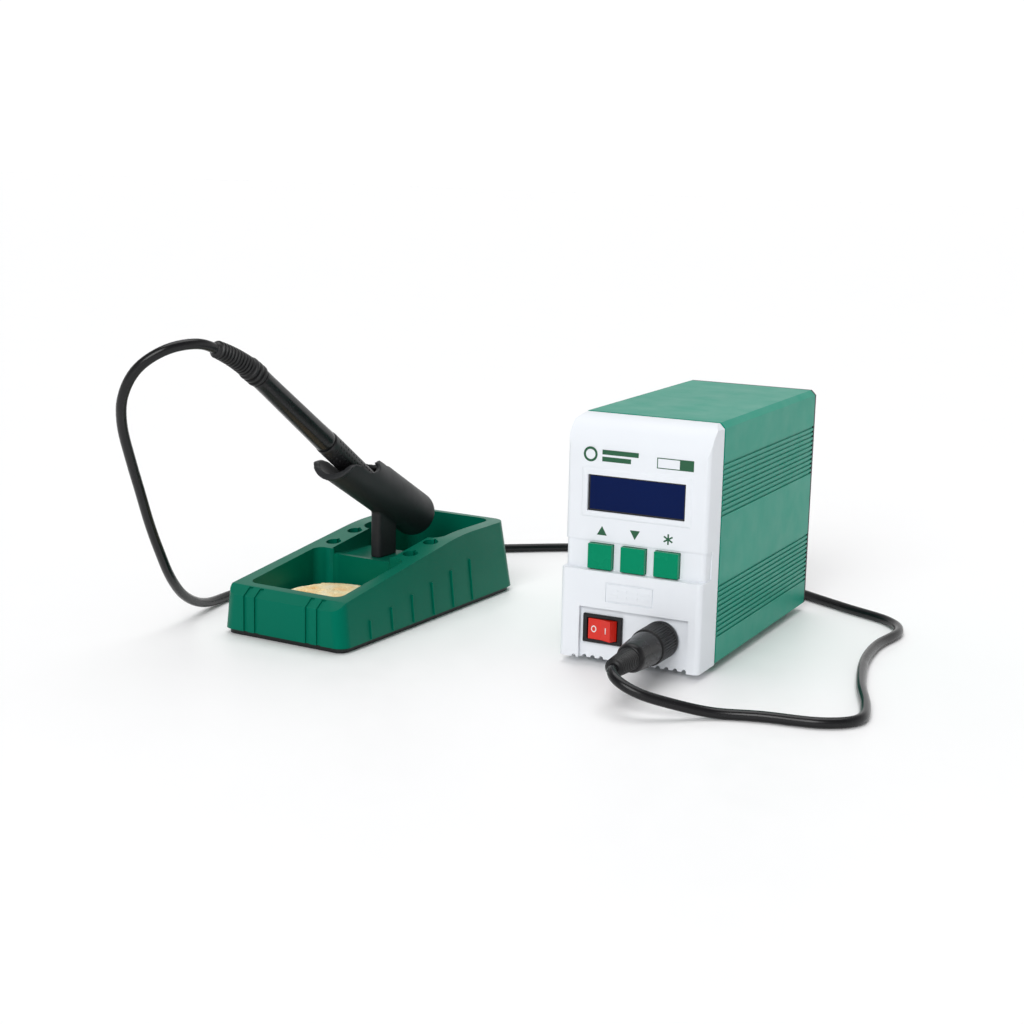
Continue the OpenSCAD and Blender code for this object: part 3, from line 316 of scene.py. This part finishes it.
def finish_mesh(name, mesh, body, paint, angle=35, weighted=False):
    mesh.validate()
    mesh.shade_smooth()
    mesh.set_sharp_from_angle(angle=math.radians(angle))
    ob = bpy.data.objects.new(name, mesh)
    bpy.context.scene.collection.objects.link(ob)
    mesh.materials.clear()
    mesh.materials.append(look[paint])
    if weighted:
        mod = ob.modifiers.new("even_normals", "WEIGHTED_NORMAL")
        mod.keep_sharp = True
        mod.weight = 60
    if body:
        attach(ob, body)
    return ob


def piece(name, verts, faces, place, body, slot, paint, angle=35, replaces=()):
    """A new piece from vertices in the millimetres of a local frame."""
    mesh = bpy.data.meshes.new(name)
    mesh.from_pydata([tuple((place @ Vector(v)) * MM) for v in verts], [], faces)
    bm = bmesh.new()
    bm.from_mesh(mesh)
    bmesh.ops.remove_doubles(bm, verts=bm.verts, dist=1e-7)
    bmesh.ops.recalc_face_normals(bm, faces=bm.faces)
    bm.to_mesh(mesh)
    bm.free()
    ob = finish_mesh(name, mesh, body, paint, angle)
    if replaces:
        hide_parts(*replaces)
    return ob


def turned(profile, sides, ridge=None, loop=True):
    """A turned shape. profile is (radius, height) pairs; ridge(angle, radius, height) gives the radius."""
    verts, faces = [], []
    for r, z in profile:
        for k in range(sides):
            a = 2 * math.pi * k / sides
            rr = ridge(a, r, z) if ridge else r
            verts.append((rr * math.cos(a), rr * math.sin(a), z))
    rows = len(profile)
    for i in range(rows if loop else rows - 1):
        for k in range(sides):
            j = (i + 1) % rows
            m = (k + 1) % sides
            faces.append((i * sides + k, i * sides + m, j * sides + m, j * sides + k))
    if not loop:
        faces.append(tuple(range(sides)))
        faces.append(tuple((rows - 1) * sides + k for k in range(sides)))
    return verts, faces


def swept(centres, radii, sides, start_normal=Vector((0, 0, 1))):
    """A round bar along centres, with a radius at each, closed at both ends."""
    verts, faces = [], []
    n = len(centres)
    dirs = [(centres[min(i + 1, n - 1)] - centres[max(i - 1, 0)]).normalized() for i in range(n)]
    side = dirs[0].cross(start_normal).normalized()
    for i in range(n):
        if i:
            side = dirs[i - 1].rotation_difference(dirs[i]) @ side
        other = side.cross(dirs[i]).normalized()
        for k in range(sides):
            a = 2 * math.pi * k / sides
            verts.append(centres[i] + radii[i] * (math.cos(a) * side + math.sin(a) * other))
    for i in range(n - 1):
        for k in range(sides):
            m = (k + 1) % sides
            faces.append((i * sides + k, i * sides + m, (i + 1) * sides + m, (i + 1) * sides + k))
    faces.append(tuple(range(sides)))
    faces.append(tuple((n - 1) * sides + k for k in range(sides)))
    return verts, faces


def welded(node):
    """The CAD node's mesh as a clean bmesh, with flat areas joined."""
    bm = bmesh.new()
    bm.from_mesh(nodes[node].data)
    bmesh.ops.remove_doubles(bm, verts=bm.verts, dist=1.5e-6)
    bmesh.ops.dissolve_limit(bm, angle_limit=math.radians(0.2), verts=bm.verts, edges=bm.edges)
    return bm


def sharp_edges(bm, width, limit, keep=None):
    """Edges that have room to be rounded by width."""
    chosen = []
    for e in bm.edges:
        if not e.is_manifold or e.calc_face_angle(0) < math.radians(limit):
            continue
        if keep and not keep(e):
            continue
        along = (e.verts[1].co - e.verts[0].co).normalized()
        room = True
        for v in e.verts:
            for f in v.link_edges:
                if f is e:
                    continue
                other = (f.verts[1].co - f.verts[0].co)
                if abs(other.normalized().dot(along)) < 0.85 and other.length < 2.15 * width:
                    room = False
        if room:
            chosen.append(e)
    return chosen


def edged(node, widths, body="station", limit=25, paint=None, keep=None):
    """Stands for a CAD node, with its edges rounded: the widths, in mm, are tried from the widest."""
    bm = welded(node)
    for w in widths:
        edges = sharp_edges(bm, w * MM, limit if w == widths[0] else 50, keep)
        if edges:
            bmesh.ops.bevel(bm, geom=edges, offset=w * MM, offset_type="OFFSET", profile=0.5,
                            segments=3 if w > 0.45 else 2, affect="EDGES", clamp_overlap=True)
            bmesh.ops.remove_doubles(bm, verts=bm.verts, dist=1e-6)
    mesh = bpy.data.meshes.new(node + "_piece")
    bm.to_mesh(mesh)
    bm.free()
    paint = paint or node_look.get(node, node_slot[node])
    ob = finish_mesh(node + "_piece", mesh, body, paint, 30, weighted=True)
    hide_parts(node)
    return ob


# ------------------------------------------------------------------ cord

ARCH = [
    (-90.5, -131, 159), (-92.6, -144, 163), (-101, -157, 161), (-112.4, -165, 152), (-121.6, -165, 138),
    (-129, -157, 122), (-134, -145, 103), (-138, -133, 84), (-142, -121, 65), (-145, -109, 47),
]
FLOOR = [
    (-149, -95, 30), (-155, -75, 15), (-161, -49, 5), (-165, -18, 2.7), (-165, 18, 2.7),
    (-160, 57, 2.7), (-147, 104, 2.7), (-123, 144, 2.7), (-86, 172, 2.7), (-52, 197, 2.7),
    (-13, 219, 2.7), (31, 219, 2.7), (74, 192, 2.7), (112, 163, 2.7), (150, 140, 2.7),
    (179, 124, 2.7), (190, 104, 2.7), (187, 72, 2.7), (190, 38, 2.7), (200, -2, 2.7),
    (212, -36, 2.7), (215, -58, 2.7), (201, -71, 2.7), (174, -76, 2.7), (153, -83.5, 3),
    (136, -95, 8), (123, -102, 12.5), (112, -102, 17), (106.5, -95.5, 19.3), (106.2, -89, 19.5),
]


def smooth_route(points, step):
    p = [Vector(q) for q in points]
    ends = [2 * p[0] - p[1]] + p + [2 * p[-1] - p[-2]]
    out = []
    for i in range(1, len(ends) - 2):
        a, b, c, d = ends[i - 1:i + 3]
        n = max(2, round((c - b).length / step))
        for k in range(n):
            t = k / n
            out.append(0.5 * (2 * b + (c - a) * t + (2 * a - 5 * b + 4 * c - d) * t * t
                              + (3 * b - a - 3 * c + d) * t ** 3))
    out.append(p[-1])
    return out


def add_cord():
    route = smooth_route(ARCH + FLOOR, 2.5)
    for _ in range(3):
        route = [route[0], route[1]] + [
            (route[i - 1] + 2 * route[i] + route[i + 1]) / 4 for i in range(2, len(route) - 2)] + route[-2:]
    verts, faces = swept(route, [2.6] * len(route), 20, Vector((1, 0, 0)))
    ob = piece("cord", verts, faces, Matrix.Identity(4), None, "rubber", "cord", 60,
               ("cord_arch", "cord_floor"))
    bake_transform(ob)


# ------------------------------------------------------------------ iron

def add_iron():
    # handle, with eight soft flats
    def flats(a, r, z):
        soft = 0.022 * min(1, max(0, z - 2) / 10) * min(1, max(0, 68 - z) / 8)
        return r * (1 - soft * (0.5 - 0.5 * math.cos(8 * a)) ** 0.6)
    rows = [(3.9, -44), (5.0, -44), (5.0, -0.4), (5.5, -0.1), (5.95, 0.25), (6.15, 0.9)]
    rows += [(6.2 - 0.9 * t / 68, t) for t in range(3, 68, 4)]
    rows += [(5.3, 68.3), (5.15, 68.8), (4.8, 69), (3.9, 69)]
    piece("handle", *turned(rows, 96, flats), IRON, "iron", "black_plastic", "handle", 40, ("handle_shell",))

    # grip, with staggered dimples
    def dimples(a, r, z):
        if r < 6.3:
            return r
        depth = 0
        for column in range(14):
            centre = 2 * math.pi * column / 14
            across = 6.5 * math.remainder(a - centre, 2 * math.pi)
            if abs(across) < 0.75:
                shift = 1.5 if column % 2 else 0
                along = math.remainder(z - shift, 3.0)
                if -43.5 < z - along < -3:
                    d = math.hypot(across, along) / 0.72
                    if d < 1:
                        depth = 0.42 * (1 - d * d) ** 0.8
        return r - depth
    rows = [(5.02, -44.6), (6.2, -44.6), (6.42, -44.4), (6.5, -44.0)]
    rows += [(6.5, -43.75 + 0.25 * i) for i in range(172)]
    rows += [(6.48, -0.7), (6.36, -0.48), (6.1, -0.4), (5.02, -0.4)]
    piece("grip_dimpled", *turned(rows, 176, dimples), IRON, "iron", "rubber", "rubber", 60, ("grip_sleeve",))

    # nut with flutes
    def flutes(a, r, z):
        return r - (0.32 * (0.5 + 0.5 * math.cos(14 * a)) ** 3 if r > 5 and -52.6 < z < -47 else 0)
    rows = [(3.5, -54.6), (4.6, -54.6), (5.05, -54.2), (5.25, -53.5), (5.25, -52.7), (5.25, -52.3),
            (5.25, -47.3), (5.25, -46.9), (5.25, -45.5), (5.1, -45), (3.85, -45), (3.85, -47.1), (3.5, -47.1)]
    piece("barrel_nut_fluted", *turned(rows, 112, flutes), IRON, "iron", "black_plastic", "black_plastic", 30,
          ("barrel_nut",))

    # strain relief: three collars, then fine rings, bending under the cord's pull
    bend = 38 / math.radians(17)
    centres, radii = [], []
    steps = 300
    for i in range(steps + 1):
        s = -6 + 44.2 * i / steps
        a = max(0, s) / bend
        centres.append(Vector((0, -bend * (1 - math.cos(a)), 69 + (bend * math.sin(a) if s > 0 else s))))
        if s < 0.15:
            r = 4.8
        elif s < 11:
            ring = math.cos(2 * math.pi * (s - 1.9) / 3.6)
            r = 5.35 + 0.6 * max(-1, min(1, 2.2 * ring))
        else:
            taper = (s - 11) / 27
            ring = math.cos(2 * math.pi * (s - 12.3) / 2.35)
            r = 4.95 - 1.15 * taper + 0.55 * max(-1, min(1, 1.8 * ring))
        if s > 37.2:
            r = 3.9 - 1.2 * (s - 37.2)
        radii.append(r)
    piece("strain_relief_iron", *swept(centres, radii, 48, Vector((1, 0, 0))), IRON, "iron", "rubber",
          "rubber", 50, ("cord_boot",))


# ------------------------------------------------------------------ plug

def add_plug():
    def knurl(a, r, z):
        if r > 9.2 and 4.9 < z < 20.1:
            wave = math.cos(40 * a)
            edge = min(1, (z - 4.9) / 0.5, (20.1 - z) / 0.5)
            return r - 0.52 * edge * max(0, min(1, 0.5 + 1.6 * wave))
        return r
    rows = [(7.95, 1.6), (9.2, 1.6), (9.5, 1.75), (9.6, 2.1), (9.6, 4.2), (9.5, 4.5), (9.3, 4.62), (9.3, 4.8),
            (9.45, 4.95), (9.5, 5.5)]
    rows += [(9.5, 6 + 1.4 * i) for i in range(10)]
    rows += [(9.48, 19.6), (9.35, 20.0), (9.1, 20.25), (8.6, 20.4), (6.75, 20.4), (6.75, 17.9), (7.95, 17.9)]
    piece("plug_ring_knurled", *turned(rows, 320, knurl), SOCKET, "ring", "black_plastic", "black_plastic",
          30, ("plug_ring",))
    rows = [(4.9, 1.6), (6.5, 1.6), (6.65, 1.9), (6.65, 20.5), (8.2, 20.6), (8.6, 20.75), (8.75, 21.2)]
    rows += [(8.75 - 1.25 * i / 10, 22 + 1.65 * i) for i in range(11)]
    rows += [(7.45, 39.2), (7.25, 40.1), (6.9, 40.9), (6.3, 41.6), (5.9, 41.95), (5.5, 42), (4.9, 42)]
    piece("plug_body_shell", *turned(rows, 96), SOCKET, "station", "black_plastic", "handle", 40,
          ("plug_body",))
    centres, radii = [], []
    for i in range(181):
        s = -5 + 23.05 * i / 180
        centres.append(Vector((0, 0, 42 + s)))
        if s < 0.2:
            r = 5.0
        else:
            r = 5.4 - 1.15 * s / 18 + 0.42 * max(-1, min(1, 2 * math.cos(2 * math.pi * (s - 1.0) / 1.8)))
            if s > 17.2:
                r = 4.5 - 0.9 * (s - 17.2)
        radii.append(r)
    piece("plug_boot_ribbed", *swept(centres, radii, 48, Vector((1, 0, 0))), SOCKET, "station", "rubber",
          "rubber", 50, ("plug_boot",))


# ------------------------------------------------------------------ stand

def add_stand():
    edged("stand_base", (0.9, 0.3), limit=28)
    edged("stand_base_plate", (0.6,))
    # holder: one moulding, so every edge and inside corner is soft
    mesh = nodes["iron_holder"].data.copy()
    ob = bpy.data.objects.new("holder_raw", mesh)
    bpy.context.scene.collection.objects.link(ob)
    bm = bmesh.new()
    bm.from_mesh(mesh)
    bmesh.ops.remove_doubles(bm, verts=bm.verts, dist=1.5e-6)
    bm.to_mesh(mesh)
    bm.free()
    mod = ob.modifiers.new("skin", "REMESH")
    mod.mode = "VOXEL"
    mod.voxel_size = 0.0006
    soft = ob.modifiers.new("soft", "SMOOTH")
    soft.factor = 0.5
    soft.iterations = 5
    done = bpy.data.meshes.new_from_object(ob.evaluated_get(bpy.context.evaluated_depsgraph_get()))
    bpy.data.objects.remove(ob)
    holder = finish_mesh("holder_moulded", done, "station", "black_metal", 70)
    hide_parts("iron_holder")


def add_sponge():
    """Crowned, porous, a little wavy, and a bit worn where the tip is wiped."""
    w, l, low, high = 24.5, 28.9, 7.05, 19.0
    centre = Vector((0, 10.5 + 29.5, 0))
    rnd = random.Random(7)
    pits = [(rnd.uniform(-1, 1), rnd.uniform(-1, 1), rnd.uniform(0.5, 1.5), rnd.uniform(0.3, 1.0))
            for _ in range(260)]
    verts, faces = [], []
    rings, sides = 46, 150

    def outline(a):
        # a rounded oblong
        c, s = math.cos(a), math.sin(a)
        p = 2.35
        r = (abs(c / w) ** p + abs(s / l) ** p) ** (-1 / p)
        return r * c, r * s

    def top(x, y, q):
        z = high - 1.3 * q ** 6 + 0.7 * (1 - q * q)
        z += 0.28 * math.sin(0.31 * x + 1.1) * math.cos(0.27 * y) + 0.12 * math.sin(1.1 * x - 0.7 * y)
        for px, py, pr, pd in pits:
            d = math.hypot(x - px * w * 0.95, y - py * l * 0.95) / pr
            if d < 1:
                z -= 0.75 * pd * (1 - d * d)
        return z
    verts.append((0, 0, top(0, 0, 0)))
    for i in range(1, rings + 1):
        q = i / rings
        for k in range(sides):
            ox, oy = outline(2 * math.pi * k / sides)
            x, y = ox * q, oy * q
            verts.append((x, y, top(x, y, q)))
    for drop, pull in ((0.25, 1.004), (0.5, 1.006), (0.75, 1.004), (1.0, 0.985)):
        for k in range(sides):
            ox, oy = outline(2 * math.pi * k / sides)
            wave = 1 + 0.006 * math.sin(9 * 2 * math.pi * k / sides + 5 * drop)
            edge = top(ox, oy, 1)
            verts.append((ox * pull * wave * 0.995, oy * pull * wave * 0.995, edge + (low - edge) * drop))
    total = rings + 4
    for k in range(sides):
        faces.append((0, 1 + k, 1 + (k + 1) % sides))
    for i in range(total - 1):
        for k in range(sides):
            a, b = 1 + i * sides, 1 + (i + 1) * sides
            faces.append((a + k, b + k, b + (k + 1) % sides, a + (k + 1) % sides))
    faces.append(tuple(1 + (total - 1) * sides + k for k in range(sides)))
    ob = piece("wiping_sponge", verts, faces, STAND @ Matrix.Translation(centre), "sponge", "cellulose",
               "cellulose", 70, ("sponge",))


# ------------------------------------------------------------------ control unit

def plate(name, outline, y, thick, paint, body="station", slot="white_plastic", place=STATION):
    """A thin printed or raised shape, drawn in x and z, on a face that looks to the front at depth y."""
    n = len(outline)
    verts = [(x, y - thick, z) for x, z in outline] + [(x, y, z) for x, z in outline]
    faces = [tuple(range(n)), tuple(reversed(range(n, 2 * n)))]
    faces += [(k, (k + 1) % n, n + (k + 1) % n, n + k) for k in range(n)]
    return piece(name, verts, faces, place, body, slot, paint, 30)


def rectangle(x, z, w, h):
    return [(x - w / 2, z - h / 2), (x + w / 2, z - h / 2), (x + w / 2, z + h / 2), (x - w / 2, z + h / 2)]


def border(name, x, z, w, h, line, y, thick, paint, soft=0.0, slot="white_plastic"):
    """A rectangular frame. With soft, its outer edge slopes back to the face."""
    verts, faces = [], []
    for dx, dz, depth in ((w / 2 + soft, h / 2 + soft, 0), (w / 2, h / 2, thick),
                          (w / 2 - line, h / 2 - line, thick), (w / 2 - line, h / 2 - line, -0.3)):
        for sx, sz in ((-1, -1), (1, -1), (1, 1), (-1, 1)):
            verts.append((x + sx * dx, y - depth, z + sz * dz))
    for i in range(3):
        for k in range(4):
            faces.append((i * 4 + k, i * 4 + (k + 1) % 4, i * 4 + 4 + (k + 1) % 4, i * 4 + 4 + k))
    for k in range(4):
        faces.append((12 + k, 12 + (k + 1) % 4, (k + 1) % 4, k))
    return piece(name, verts, faces, STATION, "station", slot, paint, 25)


def add_fascia():
    edged("front_fascia", (0.7, 0.22), limit=28)
    for use in ("up", "down", "set"):
        edged("button_" + use, (0.45, 0.2), use + "_button")
    edged("display_lens", (0.25,))
    border("window_lip", 0, 85.2, 57.5, 23.3, 2.4, PANEL_FACE, 0.5, "white_plastic", 1.0)
    border("lens_edge", 0, 85.2, 52.3, 18.5, 0.75, PANEL_FACE + 0.78, PRINT, "print_black", 0,
           "black_plastic")
    # marks above the buttons: two arrows, and a star of three strokes
    plate("mark_up", [(-20.6, 63.9), (-15.2, 63.9), (-17.9, 68.6)], PANEL_FACE, PRINT, "print_green")
    plate("mark_down", [(-2.7, 68.2), (0, 63.5), (2.7, 68.2)], PANEL_FACE, PRINT, "print_green")
    star_x, star_z, reach, half_line = 17.9, 65.9, 2.7, 0.42
    for i in range(3):
        a = math.pi / 6 + i * math.pi / 3
        c, s = math.cos(a) * reach, math.sin(a) * reach
        tx, tz = -math.sin(a) * half_line, math.cos(a) * half_line
        plate("mark_set_%d" % i, [(star_x - c - tx, star_z - s - tz), (star_x + c - tx, star_z + s - tz),
                                  (star_x + c + tx, star_z + s + tz), (star_x - c + tx, star_z - s + tz)],
              PANEL_FACE, PRINT + 0.004 * i, "print_green")
    # plain printed shapes where a name and a label would be: a ring with two bars, and a half-filled frame
    ring = [(math.cos(math.radians(9 * k)), math.sin(math.radians(9 * k))) for k in range(40)]
    verts = [(-25.4 + r * x, y, 104.6 + r * z)
             for y in (PANEL_FACE - PRINT, PANEL_FACE) for r in (3.8, 2.6) for x, z in ring]
    faces = []
    for k in range(40):
        j = (k + 1) % 40
        faces += [(k, j, 40 + j, 40 + k), (80 + k, 80 + j, 120 + j, 120 + k), (k, j, 80 + j, 80 + k),
                  (40 + k, 40 + j, 120 + j, 120 + k)]
    piece("mark_ring", verts, faces, STATION, "station", "white_plastic", "print_green", 30)
    plate("bar_upper", rectangle(-9.2, 106.2, 19.6, 2.4), PANEL_FACE, PRINT, "print_green")
    plate("bar_lower", rectangle(-11.2, 102.7, 15.6, 2.4), PANEL_FACE, PRINT, "print_green")
    border("label_line", 20.2, 103.6, 19.4, 5.4, 0.45, PANEL_FACE, PRINT, "print_green", 0)
    plate("label_block", rectangle(26.2, 103.6, 7.4, 5.0), PANEL_FACE, PRINT + 0.005, "print_green")
    # raised bars on the apron's blank plate
    for x, w in ((-8.4, 4.4), (-3.2, 3.6), (2.2, 4.8), (8.2, 5.0)):
        for z in (34.3, 37.3):
            plate("plate_bar_%d_%d" % (x * 10 + 100, z), rectangle(x, z, w, 1.3), APRON_FACE, 0.25,
                  "white_plastic")


def add_switch():
    edged("switch_body", (0.6, 0.2))
    edged("switch_rocker", (0.35, 0.15), "rocker", 18)
    # marks on the rocker's two faces, which meet at its middle
    pivot = STATION @ Matrix.Translation((-14.6, -18.65, 15.85)) @ Matrix.Rotation(math.radians(-10), 4, "Z")
    slope = math.radians(10)

    def on_face(x, z, side):
        """A point on the rocker's left (-1) or right (1) face, x along the face from the middle."""
        return (side * x * math.cos(slope), -4.3 - x * math.sin(slope) - 0.03, z)
    verts, faces = [], []
    for r in (1.75, 1.2):
        for k in range(40):
            a = 2 * math.pi * k / 40
            verts.append(on_face(3.6 + r * 0.82 * math.cos(a), r * math.sin(a), -1))
    faces = [(k, (k + 1) % 40, 40 + (k + 1) % 40, 40 + k) for k in range(40)]
    solid("mark_off", verts, faces, pivot, "rocker", "red_plastic", "print_white")
    verts = [on_face(3.25, -1.6, 1), on_face(3.8, -1.6, 1), on_face(3.8, 1.6, 1), on_face(3.25, 1.6, 1)]
    solid("mark_on", verts, [(0, 1, 2, 3)], pivot, "rocker", "red_plastic", "print_white")


def solid(name, verts, faces, place, body, slot, paint):
    """A thin flat print, given a little thickness."""
    ob = piece(name, verts, faces, place, body, slot, paint)
    mod = ob.modifiers.new("thick", "SOLIDIFY")
    mod.thickness = 0.00008
    mod.offset = 0
    return ob


def add_case():
    edged("case_shell", (0.22,), limit=30)
    edged("rear_panel", (0.4, 0.2))
    edged("mains_inlet", (0.5, 0.2))
    for name in ("case_feet", "socket_shell", "socket_nut", "inlet_pins", "transformer_core",
                 "transformer_coil", "transformer_bracket", "heat_sink", "capacitors", "fuse"):
        edged(name, (0.3, 0.12))


def screw_rows(head_r, head_h, shank_r, shank_l):
    rows = [(0.02, -head_h), (head_r * 0.55, -head_h * 0.98), (head_r * 0.8, -head_h * 0.86),
            (head_r * 0.95, -head_h * 0.6), (head_r, -head_h * 0.3), (head_r, 0), (shank_r, 0)]
    z = 0.3
    while z < shank_l - 0.6:
        rows += [(shank_r - 0.2, z + 0.25), (shank_r, z + 0.5)]
        z += 0.5
    rows += [(shank_r - 0.3, shank_l), (0.02, shank_l)]
    return rows


def add_screws(node, body, places, head_r=2.8, head_h=1.7, shank_r=1.5, shank_l=8.0):
    """Pan-head screws with a cross recess. places are matrices whose +Z runs along the shank."""
    verts, faces = [], []
    for place in places:
        v, f = turned(screw_rows(head_r, head_h, shank_r - 0.02, shank_l), 32, None, False)
        cross = []
        for x, y, z in v:
            a = math.remainder(math.atan2(y, x), math.pi / 2)
            r = math.hypot(x, y)
            slot = z < -head_h * 0.7 and abs(r * math.sin(a)) < head_r * 0.14 and r < head_r * 0.62
            cross.append((x, y, z + (head_h * 0.55 if slot else 0)))
        base = len(verts)
        verts += [tuple(place @ Vector(p)) for p in cross]
        faces += [tuple(base + i for i in face) for face in f]
    return piece(node + "_piece", verts, faces, Matrix.Identity(4), body, node_slot[node], "steel", 40,
                 (node,))


def add_fixings():
    inwards = Matrix.Rotation(math.pi / 2, 4, "X")
    at = Matrix.Translation
    left_right = (-1, 1)
    rear_face, inlet_face, inlet_height, transformer_y, fascia_y, plate_face = 145, 147.3, 31, 99, 3, 2
    corners = [(x * 33.2, z) for x in left_right for z in (5.3, 118.2)]
    feet = [(x * 26.5, y) for x in left_right for y in (14, 129)]
    stand_corners = [(x * 31, y) for x in left_right for y in (7.5, 166.5)]
    add_screws("rear_panel_screws", "station",
               [STATION @ at((x, rear_face, z)) @ inwards for x, z in corners], shank_l=12)
    add_screws("inlet_screws", "station",
               [STATION @ at((x * 20, inlet_face, inlet_height)) @ inwards for x in left_right], shank_l=9)
    add_screws("case_feet_screws", "station", [STATION @ at((x, y, -1.2)) for x, y in feet], shank_l=4.9)
    add_screws("transformer_screws", "station",
               [STATION @ at((x * 23.5, transformer_y, 0)) for x in left_right], shank_l=8.4)
    add_screws("fascia_screws", "station", [STATION @ at((x * 12, fascia_y, 0)) for x in left_right],
               shank_l=4.4)
    add_screws("base_plate_screws", "station", [STAND @ at((x, y, plate_face)) for x, y in stand_corners],
               shank_l=9)


def paint_the_rest():
    for name, ob in nodes.items():
        ob.data.materials.clear()
        ob.data.materials.append(look[node_look.get(name, node_slot[name])])


add_camera()
add_plug()
add_cord()
add_studio()
add_iron()
add_stand()
add_sponge()
add_fascia()
add_switch()
add_case()
add_fixings()
paint_the_rest()
